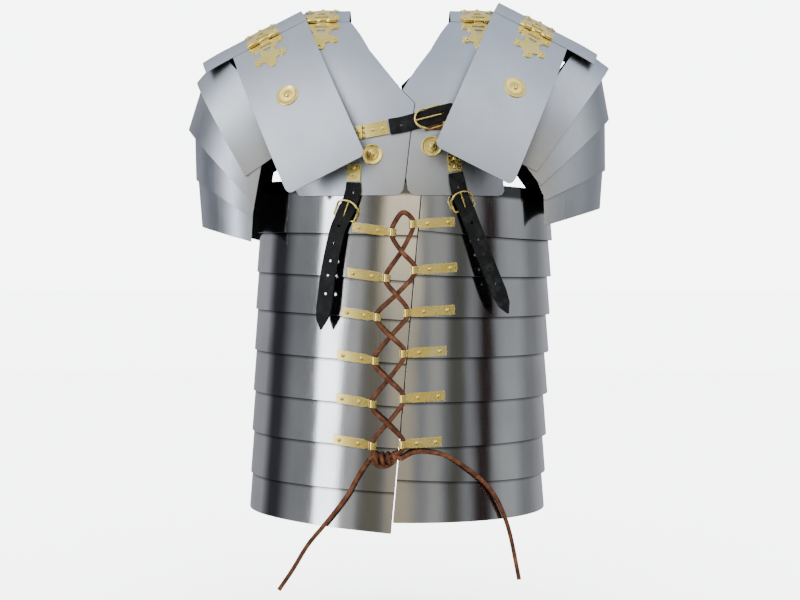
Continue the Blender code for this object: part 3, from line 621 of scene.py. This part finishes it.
# Web: distance from the hinge line, and lift of its underside and its top
WEB = ((6.4, 0.3, 1.0), (5.0, 0.4, 1.25), (3.8, 0.9, 2.0), (2.8, 1.6, 2.9), (1.8, 2.4, 3.9))


def make_web(name, skin, start, end, seam, away, body="root"):
    """Sheet that curves up from a leaf into its knuckle."""
    stations = []
    for place, low, high in WEB:
        corners = ((start, low), (end, low), (end, high), (start, high))
        stations.append([skin.at(x, seam + away * place, lift) for x, lift in corners])
    strip(name, stations, body)


def make_knuckle(name, skin, middle, low, high, line, away, body="root"):
    ends = [skin.at(middle + edge, line, BARREL_LIFT) for edge in (low, high)]
    bar(name, *ends, BARREL_RADIUS, body)
    make_web(name + "_web", skin, middle + low + 0.5, middle + high - 0.5, line, away, body)


# Yoke: breast, collar and back plates on one saddle
CROWN_Z = 8.0
CROWN_RADIUS = 71.3
HINGE_RUN = 56.0
CHEST_RADIUS = 308.0
YOKE_FOOT_Z = -239.0
YOKE_WIDTH = 230.0
NECK_X = 65.0
COLLAR_EDGE_X = 150.0
HINGE_SEAM = 0.5
GUARD_X = 130.0
GUARD_Z = {-1: 8.0, 1: 19.0}
GUARD_SLOPE = math.radians(27.1)
GUARD_CROWN_RADIUS = 70.0
GUARD_RADIUS = 450.0
GUARD_LENGTH = 228.0
GUARD_WIDTH = 106.0
GUARD_TOP_WIDTH = 145.0
GUARD_LEAN = 12.0
CURL_START, CURL = 110.0, 600.0


def two_arcs(run, crown_radius, lower_radius):
    """Reach and drop of a plate that leaves the crown level and turns down in two arcs."""
    turn = HINGE_RUN / crown_radius
    if run <= HINGE_RUN:
        angle = run / crown_radius
        return crown_radius * math.sin(angle), crown_radius * (1 - math.cos(angle))
    gone = turn + (run - HINGE_RUN) / lower_radius
    angle = min(gone, math.pi / 2)
    straight = (gone - angle) * lower_radius
    reach = crown_radius * math.sin(turn) + lower_radius * (math.sin(angle) - math.sin(turn))
    drop = crown_radius * (1 - math.cos(turn)) + lower_radius * (math.cos(turn) - math.cos(angle))
    return reach, drop + straight


YOKE_FOOT = HINGE_RUN
while CROWN_Z - two_arcs(YOKE_FOOT, CROWN_RADIUS, CHEST_RADIUS)[1] > YOKE_FOOT_Z:
    YOKE_FOOT += 0.25


def shoulder_fall(side, x):
    under_guard = GUARD_Z[side] - (COLLAR_EDGE_X - GUARD_X) * math.tan(GUARD_SLOPE)
    edge = under_guard - (WALL + NEST) / math.cos(GUARD_SLOPE)
    return between(((NECK_X, 0.0), (95.0, 0.5), (120.0, 1.5), (COLLAR_EDGE_X, CROWN_Z - edge)), abs(x))


def front_point(side, x, run):
    """Outside of the front: the saddle down to its lower edge, then the girdle's oval."""
    face = -1 if run >= 0 else 1
    run = abs(run)
    past = max(run - YOKE_FOOT, 0.0)
    share = min(run / YOKE_FOOT, 1.0)
    reach, drop = two_arcs(min(run, YOKE_FOOT), CROWN_RADIUS, CHEST_RADIUS)
    width = YOKE_WIDTH + (HALF_WIDTH - YOKE_WIDTH) * share
    z = CROWN_Z - drop - past
    centre = CENTRE_TOP * share if z > GIRDLE_TOP else girdle_centre(z)
    bulge = math.sqrt(1 - ((x - centre) / width) ** 2)
    fade = max(0.0, 1 - run / 180)
    return Vector((x, face * reach * bulge, z - shoulder_fall(side, x) * fade))


FRONT = {side: Skin(lambda x, run, side=side: front_point(side, x, run), (0, 0, -150)) for side in (-1, 1)}
BREAST = (
    (56.5, -63, 63, 150),
    (80, -51, 51, 143),
    (110, -38, 38, 135),
    (140, -19, 20, 127),
    (171, 2, 3, 121),
    (190, 18, 19, 119),
    (235, 12, 13, 121),
    (285, 6.5, 7.5, 128),
    (300, 4, 9.5, 130),
    (305, 0, 14, 127),
    (306.5, -6, 21, 121),
)
BACK = (
    (56.5, 63, 150),
    (85, 46, 142),
    (115, 24, 134),
    (138, 2, 127),
    (190, 0.6, 119),
    (245, 0.6, 122),
    (290, 0.6, 128),
    (303, 3, 129),
    (306.5, 9, 123),
)
CHEST_ROSETTE = {-1: (-34.0, 256.0), 1: (39.0, 246.0)}


def across(run, start, end, columns):
    return [(start + (end - start) * column / (columns - 1), run) for column in range(columns)]


def make_yoke(side_name, side):
    skin = FRONT[side]
    middle = side * YOKE_HINGE_X
    column = 1 if side < 0 else 2
    rows = [across(row[0], row[column], side * row[3], 26) for row in refine(BREAST, 6.0)]
    steel_plate(f"breastplate_{side_name}", rows, skin, "shoulder_steel")
    boss(f"breastplate_{side_name}_rosette", skin, *CHEST_ROSETTE[side], 13.0)
    rows = [across(-row[0], side * row[1], side * row[2], 26) for row in refine(BACK, 6.0)]
    steel_plate(f"back_plate_{side_name}", rows, skin, "shoulder_steel")
    reach = HINGE_RUN - HINGE_SEAM
    rows = [across(reach * step / 14, side * NECK_X, side * COLLAR_EDGE_X, 20) for step in range(-14, 15)]
    steel_plate(f"collar_plate_{side_name}", rows, skin, "shoulder_steel")
    for word, line, way in (("front", HINGE_RUN, 1), ("back", -HINGE_RUN, -1)):
        hinge = f"collar_hinge_{word}_{side_name}"
        make_leaf(hinge + "_upper", skin, middle, line, -way)
        make_leaf(hinge + "_lower", skin, middle, line, way)
        for number, (low, high) in enumerate(YOKE_KNUCKLES):
            make_knuckle(f"{hinge}_knuckle_{number}", skin, middle, low, high, line,
                         way if number == 1 else -way)


# Shoulder guards
def guard_point(side, u, run):
    outward = Vector((side * math.cos(GUARD_SLOPE), 0.0, -math.sin(GUARD_SLOPE)))
    down = Vector((-side * math.sin(GUARD_SLOPE), 0.0, -math.cos(GUARD_SLOPE)))
    face = -1 if run >= 0 else 1
    reach, drop = two_arcs(abs(run), GUARD_CROWN_RADIUS, GUARD_RADIUS)
    lean = GUARD_LEAN * max(abs(run) - HINGE_RUN, 0.0) / GUARD_LENGTH
    place = Vector((side * GUARD_X, face * reach, GUARD_Z[side]))
    place += outward * (u + lean) + down * drop
    return place - Vector((0.0, 0.0, max(u - CURL_START, 0.0) ** 2 / CURL))


GUARD = {side: Skin(lambda u, run, side=side: guard_point(side, u, run), (side * 120, 0, -150))
         for side in (-1, 1)}
GUARD_ROSETTE = {-1: (59.0, 161.0), 1: (62.0, 161.0)}
GUARD_ROWS = ((0.5, 0.0), (218.0, 0.0), (220.0, 0.15), (222.0, 0.6), (224.0, 1.4), (225.5, 2.4),
              (226.8, 3.8), (227.6, 5.4), (228.0, 8.0))


def make_guard(side_name, side):
    skin = GUARD[side]
    middle = GUARD_HINGE_U
    edge = HINGE_RUN - HINGE_SEAM
    rows = [across(edge * step / 14, 0.0, GUARD_TOP_WIDTH, 34) for step in range(-14, 15)]
    steel_plate(f"guard_top_{side_name}", rows, skin, "shoulder_steel")
    inner = KNUCKLE_HALF + KNUCKLE_GAP
    for word, line in (("front", 1), ("back", -1)):
        body = f"guard_{word}_{side_name}"
        rows = [across(line * (HINGE_RUN + run), inset, GUARD_WIDTH - inset, 26)
                for run, inset in refine(GUARD_ROWS, 7.0)]
        steel_plate(body, rows, skin, "shoulder_steel", body)
        seam = line * HINGE_RUN
        hinge = f"guard_hinge_{word}_{side_name}"
        make_leaf(hinge + "_upper", skin, middle, seam, -line)
        make_leaf(hinge + "_lower", skin, middle, seam, line, body)
        make_knuckle(hinge + "_knuckle_0", skin, middle, -BARREL_HALF, -inner, seam, -line)
        make_knuckle(hinge + "_knuckle_1", skin, middle, inner, BARREL_HALF, seam, -line)
        make_knuckle(hinge + "_knuckle_2", skin, middle, -KNUCKLE_HALF, KNUCKLE_HALF, seam, line, body)
        bar(hinge + "_pin", *(skin.at(middle + end, seam, BARREL_LIFT) for end in (-PIN_HALF, PIN_HALF)),
            PIN_RADIUS, cap=0.3)
        if line > 0:
            boss(body + "_rosette", skin, *GUARD_ROSETTE[side], 14.5, body)


# Arm lames
LAMES = {
    -1: (
        (267, -86, 194, -214, 92),
        (278, -148, 183, -250, 91),
        (268, -214, 186, -266, 90),
        (260, -276, 187, -296, 88.5),
    ),
    1: (
        (275, -67, 172, -208, 92),
        (275, -135, 177, -226, 91),
        (270, -202, 183, -244, 90),
        (263, -252, 182, -276, 88.5),
    ),
}
LAME_TOP_U = 118.0
LAME_TOP_FRONT = {-1: (128, -168, 88), 1: (128, -186, 88)}
LAME_TUCK = (0.70, 0.74, 0.78)


def arch(crown, front, depth):
    """Half loop round the arm from a crown place to the front and back ends, by angle."""
    def place(angle):
        share = math.cos(angle)
        return Vector((front[0] + (crown[0] - front[0]) * share, -depth * math.sin(angle),
                       front[1] + (crown[1] - front[1]) * share))
    return place


def make_lames(side_name, side):
    top = GUARD[side].at(LAME_TOP_U, 0.0, -WALL - NEST - 0.3)
    front_x, front_z, depth = LAME_TOP_FRONT[side]
    upper = arch((top.x, top.z), (side * front_x, front_z), depth)
    for number, row in enumerate(LAMES[side], 1):
        crown_x, crown_z, front_x, front_z, depth = row
        lower = arch((side * crown_x, crown_z), (side * front_x, front_z), depth)
        skin = Skin(lambda angle, down, upper=upper, lower=lower: upper(angle).lerp(lower(angle), down),
                    (side * 185, 0, (crown_z + front_z) / 2 - 30))
        rows = [[(math.pi * (step / 56 - 0.5), down) for step in range(57)] for down in (0.0, 0.5, 1.0)]
        steel_plate(f"arm_lame_{number}_{side_name}", rows, skin, "shoulder_steel")
        if number < len(LAMES[side]):
            tuck = LAME_TUCK[number - 1]
            upper = (lambda angle, skin=skin, tuck=tuck: skin.at(angle, tuck, -WALL - NEST - 0.3))


for name_of_side, sign in SIDES:
    make_yoke(name_of_side, sign)
    make_guard(name_of_side, sign)
    make_lames(name_of_side, sign)


# Lacing loops
LOOPS = (
    (-58, -5, 67, 11),
    (-65, -12, 70, 13),
    (-71, -23, 67, 4),
    (-77, -26, 57, 0),
    (-78, -29, 55, -1),
    (-82, -29, 51, -1),
)
LOOP_RISE = 7.0
LOOP_HALF = 6.0
LOOP_TOP = 1.3
LOOP_RIVETS = (0.17, 0.70)    # shares of the plate's length
EYE_HALF = 4.6
EYE_WIDTH = 8.8
EYE_FOOT, EYE_TOP = 0.8, 7.0
EYE_ROUND = 0.55           # 1 would make the eye a half circle, and less makes it squarer
LOOP_TILT = {-1: 0.14, 1: 0.06}    # loops drop a little towards the seam


def girdle_place(x, z, lift):
    centre = girdle_centre(z)
    y = -HALF_DEPTH * math.sqrt(1 - ((x - centre) / HALF_WIDTH) ** 2)
    out = Vector(((x - centre) / HALF_WIDTH ** 2, y / HALF_DEPTH ** 2, 0.0)).normalized()
    return Vector((x, y, z)) + out * lift


def loop_z(row, side):
    return HOOPS[row][1 if side < 0 else 3] + LOOP_RISE


def loop_ends(row, side):
    return LOOPS[row][0:2] if side < 0 else LOOPS[row][2:4]


def eye_x(row, side):
    return loop_ends(row, side)[1] + side * EYE_WIDTH / 2


def eye_z(row, side):
    return loop_z(row, side) - LOOP_TILT[side] * abs(eye_x(row, side) - loop_ends(row, side)[0]) / 2


def make_loop(row, side, side_name):
    """Riveted brass plate, narrowed to a tongue that folds over as an eye."""
    start, end = loop_ends(row, side)
    way = -side
    leg = end - way * EYE_WIDTH
    length = abs(leg - start)
    name = f"lace_loop_{row + 1}_{side_name}"
    mid = eye_x(row, side)
    middle = (start + mid) / 2

    def tilted(x, up, lift):
        return girdle_place(x, loop_z(row, side) + up - LOOP_TILT[side] * way * (x - middle), lift)

    def place(up, gone, lift):
        return tilted(start + way * gone, up, lift)

    half = [(LOOP_HALF - 0.7, 0.0), (LOOP_HALF, 0.7), (LOOP_HALF, length - 7.5), (EYE_HALF, length - 2.5),
            (EYE_HALF, length + 0.4)]
    outline = half + [(-x, y) for x, y in reversed(half)]
    sheet = cut_sheet(name, outline, (), place, 0.2, LOOP_TOP, 3.5)
    round_edges(place_piece(name + "_plate", sheet, "brass", "root", (name,)), 0.25)
    studs(name + "_rivets", place, LOOP_TOP, [(0.0, length * share, 2.5) for share in LOOP_RIVETS])
    profile = [(leg - way * 1.5, EYE_FOOT)]
    for step in range(13):
        turn = math.pi * step / 12
        lift = EYE_FOOT + (EYE_TOP - EYE_FOOT) * math.sin(turn) ** EYE_ROUND
        profile.append((mid - way * EYE_WIDTH / 2 * math.cos(turn), lift))
    stations = []
    for index, (x, lift) in enumerate(profile):
        before, after = profile[max(index - 1, 0)], profile[min(index + 1, len(profile) - 1)]
        run = Vector((after[0] - before[0], after[1] - before[1])).normalized()
        aside = Vector((-run.y, run.x)) * 0.5 * way
        stations.append([tilted(x + part * aside.x, up * EYE_HALF, lift + part * aside.y)
                         for part, up in ((-1, -1), (-1, 1), (1, 1), (1, -1))])
    strip(name + "_eye", stations)


for row_number in range(len(LOOPS)):
    for name_of_side, sign in SIDES:
        make_loop(row_number, sign, name_of_side)


# Lace
LACE_RADIUS = 2.8
LACE_LIFT = 3.3
LACE_OVER = 9.3
KNOT = (-18.0, -560.0)
KNOT_LIFT = 9.0
EYE_LEAD = 6.0
LACE_TOP = 13.0


def round_piece(name, points, nodes=(), look="lace_leather", radius=LACE_RADIUS, closed=False):
    """Lace or wire along a path."""
    curve = bpy.data.curves.new(name, "CURVE")
    curve.dimensions = "3D"
    curve.bevel_depth = radius * MM
    curve.bevel_resolution = 5
    curve.use_fill_caps = not closed
    spline = curve.splines.new("POLY")
    spline.points.add(len(points) - 1)
    for knot, point in zip(spline.points, points):
        knot.co = (*(point * MM), 1.0)
    spline.use_cyclic_u = closed
    return place_piece(name, curve, look, "root", nodes)


def lace_places():
    """Course of the lace, from the knot up through the eyes by turns and down through the others."""
    places = [(KNOT[0] - 6, KNOT[1] + 2, KNOT_LIFT)]

    def strand(rows, way):
        for count, row in enumerate(rows):
            side = 1 if count % 2 else -1
            x, z = eye_x(row, side), eye_z(row, side)
            places.extend([(x, z - way * EYE_LEAD, LACE_LIFT), (x, z + way * EYE_LEAD, LACE_LIFT)])
            if count < len(rows) - 1:
                upper = row - 1 if way > 0 else row
                eyes = [(near, eye) for near in (upper, upper + 1) for eye in (-1, 1)]
                places.append((sum(eye_x(*eye) for eye in eyes) / 4, sum(eye_z(*eye) for eye in eyes) / 4,
                               LACE_OVER if upper % 2 == (way > 0) else LACE_LIFT))

    rows = range(len(LOOPS))
    strand(rows[::-1], 1)
    places.append(((eye_x(0, -1) + eye_x(0, 1)) / 2, loop_z(0, 1) + LACE_TOP, LACE_LIFT + 1.5))
    strand(rows, -1)
    return places + [(KNOT[0] + 6, KNOT[1] + 2, KNOT_LIFT)]


laced = [girdle_place(*place) for place in smooth_path(lace_places(), 3.5)]
round_piece("lace_laced_run", laced, ("lace_laced",))


# Knot: wraps round two core strands, and a loose strand tucked under them
KNOT_WRAPS = 3.25
KNOT_HALF = 12.0
KNOT_STEPS = 20            # for each turn of the wraps
WRAP_UP, WRAP_OUT = 5.6, 5.0
KNOT_CORE = ((-37, -561.5, 10), (-27, -557, 9.5), (-15, -562, 9), (-4, -558.5, 9), (0.5, -560, 8.7))
KNOT_TUCK = ((-33, -553, 5.5), (-30, -566, 9), (-18, -569.5, 8), (-8, -564, 7), (-2, -554, 5))


def knot_turn(turn):
    angle = 2 * math.pi * turn
    return girdle_place(KNOT[0] - KNOT_HALF + 2 * KNOT_HALF * turn / KNOT_WRAPS,
                        KNOT[1] + WRAP_UP * math.cos(angle) - 1.0, KNOT_LIFT + WRAP_OUT * math.sin(angle))


wraps = [knot_turn(step / KNOT_STEPS) for step in range(round(KNOT_WRAPS * KNOT_STEPS) + 1)]
round_piece("lace_knot_wraps", wraps)
for name, places in (("lace_knot_core", KNOT_CORE), ("lace_knot_tuck", KNOT_TUCK)):
    round_piece(name, [girdle_place(*place) for place in smooth_path(places, 2.5)])

LACE_LEFT = (
    (-36.6, -561, 10.8),
    (-50, -582, 5),
    (-62, -604, 4),
    (-76, -624, 4),
    (-92, -645, 4.5),
    (-112, -671, 5),
    (-131, -704, 5),
    (-148, -731, 5),
)
LACE_RIGHT = (
    (0.2, -560.4, 8.6),
    (17, -552, 9),
    (38, -553, 6.5),
    (60, -560, 5),
    (90, -582, 4.5),
    (110, -603, 4.5),
    (123, -627, 5),
    (134, -662, 6),
    (145, -718, 6),
)
HEM_HANG_Y = -100.0


def free_end(node, places):
    route = []
    for x, z, lift in smooth_path(places, 4.0):
        point = girdle_place(x, z, lift)
        point.y = min(point.y, HEM_HANG_Y)
        route.append(point)
    thing = round_piece(node + "_cord", route, (node,))


free_end("lace_end_left", LACE_LEFT)
free_end("lace_end_right", LACE_RIGHT)


# Straps with their buckles and brass fittings
STRAP_THICK = 2.2
HOLE_RADIUS = 1.6
UNDER, OVER = 0.7, 3.4


def lengths_gone(places):
    gone = [0.0]
    for near, far in zip(places, places[1:]):
        gone.append(gone[-1] + math.dist(near, far))
    return gone


class Track:
    """A strip's course over the front. A station is x, run, half width and lift of its underside."""

    def __init__(self, side, stations):
        self.skin = FRONT[side]
        self.places = smooth_path([(x, run, 0.0) for x, run, _, _ in stations], 3.0)
        lengths = lengths_gone([station[:2] for station in stations])
        self.widths = [(length, station[2]) for length, station in zip(lengths, stations)]
        self.lifts = [(length, station[3]) for length, station in zip(lengths, stations)]
        self.gone = lengths_gone(self.places)
        self.length = self.gone[-1]

    def spot(self, along):
        along = min(max(along, 0.0), self.length)
        index = 0
        while index < len(self.gone) - 2 and self.gone[index + 1] < along:
            index += 1
        near, far = self.places[index], self.places[index + 1]
        share = (along - self.gone[index]) / (self.gone[index + 1] - self.gone[index])
        return near.lerp(far, share), (far - near).normalized()

    def at(self, aside, along, lift):
        place, way = self.spot(along)
        out = self.skin.normal(place.x, place.y)
        step = self.skin.at(place.x + way.x, place.y + way.y) - self.skin.at(place.x - way.x, place.y - way.y)
        across_way = out.cross(step.normalized()).normalized()
        return self.skin.at(place.x, place.y, between(self.lifts, along) + lift) + across_way * aside

    def outline(self):
        count = math.ceil(self.length / 3.0)
        gone = [self.length * step / count for step in range(count + 1)]
        half = [(between(self.widths, along), along) for along in gone]
        return half + [(-x, y) for x, y in reversed(half)]

    def along(self, x=None, run=None):
        """Length gone where the course passes nearest a given x or run."""
        def miss(index):
            place = self.places[index]
            return abs(place.x - x) if run is None else abs(place.y - run)
        return self.gone[min(range(len(self.places)), key=miss)]


def band(name, node, side, stations, thick, look, holes=(), rivets=()):
    course = Track(side, stations)
    loops = [circle(0.0, course.along(**hole), HOLE_RADIUS) for hole in holes]
    sheet = cut_sheet(name, course.outline(), loops, course.at, 0.0, thick, 3.2)
    thing = place_piece(name, sheet, look, "root", (node,) if node else ())
    round_edges(thing, 0.35 if thick > 1.5 else 0.2)
    if rivets:
        studs(name + "_rivets", course.at, thick, rivets)


WIRE_RADIUS, TONGUE_RADIUS = 1.25, 1.0
BUCKLE_HALF = 13.4
BUCKLE_ARC, BUCKLE_BAR = 6.8, 1.7    # lift of the round end and of the bar
BUCKLE_CORNER = ((1.0, 0.4), (1.0, 0.85), (0.93, 0.97), (0.8, 1.0))


def buckle(node, side, x, run, turn, half_along):
    """Wire frame with a round end and a straight bar, and the tongue that lies across it."""
    name = node + "_frame"

    def at(across_way, along_way, lift):
        dx = across_way * math.cos(turn) + along_way * math.sin(turn)
        dr = across_way * math.sin(turn) - along_way * math.cos(turn)
        return FRONT[side].at(x + dx, run + dr, lift)

    outline = []
    for number in range(33):
        angle = math.pi * number / 32
        outline.append((BUCKLE_HALF * math.cos(angle), half_along * (0.1 + 0.9 * math.sin(angle)),
                        min(1.8 * math.sin(angle), 1.0)))
    corner = [(BUCKLE_HALF * a, -half_along * b, 0.0) for a, b in BUCKLE_CORNER]
    outline += [(-a, b, lift) for a, b, lift in corner] + corner[::-1]
    points = [at(a, b, BUCKLE_BAR + (BUCKLE_ARC - BUCKLE_BAR) * share) for a, b, share in outline]
    round_piece(name, points, (node,), "brass", WIRE_RADIUS, closed=True)
    tongue = [(0.0, -half_along, BUCKLE_BAR + 1.6), (0.0, -half_along * 0.4, BUCKLE_ARC - 0.6),
              (0.0, half_along * 0.3, BUCKLE_ARC + 0.4), (0.0, half_along * 0.98, BUCKLE_ARC + 1.9)]
    points = [at(a, b, lift) for a, b, lift in smooth_path(tongue, 1.5)]
    round_piece(name + "_tongue", points, (), "brass", TONGUE_RADIUS)


band("strap_fitting_chest_root", "strap_fitting_chest", -1,
     ((-54, 229, 8, UNDER), (-50, 228.3, 9, UNDER), (-46, 227.6, 9, UNDER)), 1.2, "brass",
     rivets=((0.0, 3.4, 2.3),))
band("strap_fitting_chest_plate", None, -1,
     ((-43, 227.1, 9, UNDER), (-34, 225.5, 9, UNDER), (-14.4, 222, 9, UNDER)), 1.2, "brass",
     rivets=((0.0, 10.0, 2.4), (0.0, 22.0, 2.4)))
for number, (low, high) in enumerate(((-9.0, -3.2), (-2.8, 2.8), (3.2, 9.0))):
    ends = [FRONT[-1].at(-44.5, 227.4 + end, 1.9) for end in (low, high)]
    bar(f"strap_fitting_chest_knuckle_{number}", *ends, 1.7)
band("chest_buckle_tab", None, 1, ((30, 219, 7, 0.3), (46, 218, 7, 0.3), (62, 216.5, 6.5, 0.3)), 1.5,
     "lace_leather", rivets=((1.5, 25.0, 2.6),))
band("strap_chest_band", "strap_chest", -1, (
    (-13.0, 221.6, 10, UNDER), (4, 218.5, 10, UNDER), (20, 214, 10, UNDER + 0.3),
    (38, 209, 10, 2.2), (52, 204, 10, OVER), (64, 198, 7.5, OVER), (72, 194, 0.8, OVER),
), STRAP_THICK, "strap_leather", holes=({"x": 1.5}, {"x": 37.0}, {"x": 53.0}))
buckle("buckle_chest", 1, 36.5, 210.5, math.radians(-107), 19.0)

for side_word, strap_side, fitting, course_stations, buckle_seat, hole_runs in (
    ("left", -1, ((-56, 268, 8.5, UNDER), (-56.5, 289, 8.5, UNDER)),
     ((-56.6, 290.2, 9, UNDER), (-57.5, 303, 10, UNDER), (-62, 318, 10, 1.3), (-69, 334, 10, OVER),
      (-75, 350, 10, 5.0), (-80, 378, 10, 9.0), (-84, 408, 10, 12.5), (-87, 444, 10, 15.5),
      (-89, 458, 8, 16.3), (-90, 471, 0.8, 17.0)),
     (-64.5, 324, math.radians(22)), (302, 345, 365, 386, 406, 426)),
    ("right", 1, ((66, 256, 8.5, UNDER), (67.5, 277, 8.5, UNDER)),
     ((67.8, 278.6, 9, UNDER), (70, 290, 10, UNDER), (73.5, 306, 10, 1.3), (80, 323, 10, OVER),
      (86, 340, 10, 5.0), (94, 364, 10, 9.0), (104, 396, 10, 13.0), (114, 425, 10, 16.5),
      (119, 440, 8, 18.0), (123, 451, 0.8, 19.0)),
     (75.5, 313, math.radians(-20)), (297, 340, 359, 379, 397, 415)),
):
    band(f"strap_fitting_{side_word}_plate", f"strap_fitting_{side_word}", strap_side, fitting, 1.2, "brass",
         rivets=((0.0, 5.2, 2.4), (0.0, 15.6, 2.4)))
    band(f"strap_{side_word}_band", f"strap_{side_word}", strap_side, course_stations, STRAP_THICK,
         "strap_leather", holes=tuple({"run": run} for run in hole_runs))
    buckle(f"buckle_{side_word}", strap_side, *buckle_seat, 11.0)


# Floor, light and the room that the polished plates mirror
FLOOR_HALF = 14.0


def make_floor():
    mesh = bpy.data.meshes.new("floor")
    corners = [(x * FLOOR_HALF, y * FLOOR_HALF, FLOOR_Z) for x, y in ((-1, -1), (1, -1), (1, 1), (-1, 1))]
    mesh.from_pydata(corners, [], [(0, 1, 2, 3)])
    made, tree, shader = new_material("pale_floor")
    fill(tree, shader, Base_Color=(0.93, 0.93, 0.93, 1.0), Roughness=0.9)
    mesh.materials.append(made)
    floor = add_object("floor", mesh)
    floor.visible_glossy = False
    floor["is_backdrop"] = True


LIGHT_SIZE = 2.4

# The room is a grey dome with panels hung in it, seen only in reflections. A panel's azimuths
# count from straight ahead of the armour, left negative, its heights from the horizon, and
# the last two degrees before the colour are how softly its sides and its foot and top fade.
WALLS = (0.25, 0.26, 0.28)
PANELS = (
    (140, 220, -90, 90, 30, 1, (0.50, 0.50, 0.55)),     # wall behind
    (-150, -115, -90, 90, 15, 1, (0.40, 0.40, 0.45)),   # wall to the left
    (-100, -88, -90, 90, 14, 1, (0.04, 0.04, 0.05)),    # black screen
    (-50, -37, -90, 90, 3, 1, (4.60, 4.80, 5.20)),      # window
    (-34, -26, -90, 90, 4, 1, (0.50, 0.50, 0.50)),      # its lit reveal
    (-19, -12, -90, 90, 6, 1, (0.16, 0.15, 0.12)),      # gap beside it
    (-3, 6, -90, 90, 6, 1, (0.52, 0.46, 0.34)),         # warm wall ahead
    (18, 23, -90, 90, 4, 1, (0.42, 0.42, 0.40)),        # grey board
    (31, 37, -90, 90, 5, 1, (0.09, 0.09, 0.08)),        # dark post
    (51, 57, -90, 90, 7, 1, (0.03, 0.02, 0.02)),        # brown door
    (72, 85, -90, 90, 12, 1, (0.42, 0.44, 0.46)),       # wall to the right
    (-10, 8, 5, 16, 6, 4, (1.30, 1.15, 0.85)),          # warm lamp above the warm wall
)
CEILING = {-1: (0.66, 0.70, 0.78), 1: (0.66, 0.74, 0.88)}    # over the left and over the right
CEILING_FROM, CEILING_FULL = 22.0, 50.0
BELOW = (0.10, 0.10, 0.11)
BELOW_FROM, BELOW_FULL = -14.0, -30.0
ROOM_RADIUS, ROOM_Z = 4.0, -0.35
ROOM_SIDES, ROOM_LEVELS = 240, 60


def blend(low, high, share):
    return tuple(a + (b - a) * share for a, b in zip(low, high))


def reach_of(value, low, high, soft):
    """1 inside a range, falling to 0 over the soft distance outside it."""
    return min(share_between(value, low - soft, low), share_between(value, high + soft, high))


def room_tone(azimuth, height):
    tone = WALLS
    for start, end, foot, top, side_fade, end_fade, colour in PANELS:
        turn = azimuth if azimuth > start - side_fade else azimuth + 360
        share = reach_of(turn, start, end, side_fade) * reach_of(height, foot, top, end_fade)
        tone = blend(tone, colour, share)
    over = blend(CEILING[-1], CEILING[1], 0.5 + 0.5 * math.sin(math.radians(azimuth)))
    tone = blend(tone, over, share_between(height, CEILING_FROM, CEILING_FULL))
    return blend(tone, BELOW, share_between(height, BELOW_FROM, BELOW_FULL))


def make_room():
    """Dome of light round the armour, left out of everything but reflections."""
    points, faces, tones = [], [], []
    for level in range(ROOM_LEVELS + 1):
        height = -90 + 180 * level / ROOM_LEVELS
        reach = ROOM_RADIUS * math.cos(math.radians(height))
        z = ROOM_Z + ROOM_RADIUS * math.sin(math.radians(height))
        start = level * ROOM_SIDES
        for number in range(ROOM_SIDES):
            azimuth = -180 + 360 * number / ROOM_SIDES
            turn = math.radians(azimuth)
            points.append((reach * math.sin(turn), -reach * math.cos(turn), z))
            tones.append(room_tone(azimuth, height))
            if level:
                here, near = start + number, start + (number + 1) % ROOM_SIDES
                faces.append((here - ROOM_SIDES, near - ROOM_SIDES, near, here))
    mesh = bpy.data.meshes.new("room")
    mesh.from_pydata(points, [], faces)
    layer = mesh.color_attributes.new("tone", "FLOAT_COLOR", "POINT")
    for item, tone in zip(layer.data, tones):
        item.color = (*tone, 1.0)
    made, tree, _ = new_material("room_light")
    tone_node = add_node(tree, "ShaderNodeVertexColor", layer_name="tone")
    glow = add_node(tree, "ShaderNodeEmission", Color=tone_node.outputs["Color"])
    fill(tree, tree.nodes["Material Output"], Surface=glow.outputs["Emission"])
    mesh.materials.append(made)
    room = add_object("room", mesh)
    for ray in ("camera", "diffuse", "shadow", "transmission"):
        setattr(room, "visible_" + ray, False)
    room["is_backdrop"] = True


def area_light(name, place, target, power):
    data = bpy.data.lights.new(name, "AREA")
    data.size = LIGHT_SIZE
    data.energy = power
    light = add_object(name, data)
    light.location = place
    light.rotation_euler = (Vector(target) - Vector(place)).to_track_quat("-Z", "Y").to_euler()


def make_world():
    world = bpy.data.worlds.new("studio")
    world.use_nodes = True
    sky = world.node_tree.nodes["Background"]
    sky.inputs["Color"].default_value = (0.96, 0.98, 1.0, 1.0)
    sky.inputs["Strength"].default_value = 7.0
    bpy.context.scene.world = world


make_floor()
make_room()
make_world()
area_light("key", (-1.8, -2.0, 1.9), (0.0, 0.0, -0.2), 22.0)
area_light("fill", (2.0, -1.8, 1.5), (0.0, 0.0, -0.3), 20.0)

low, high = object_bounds()
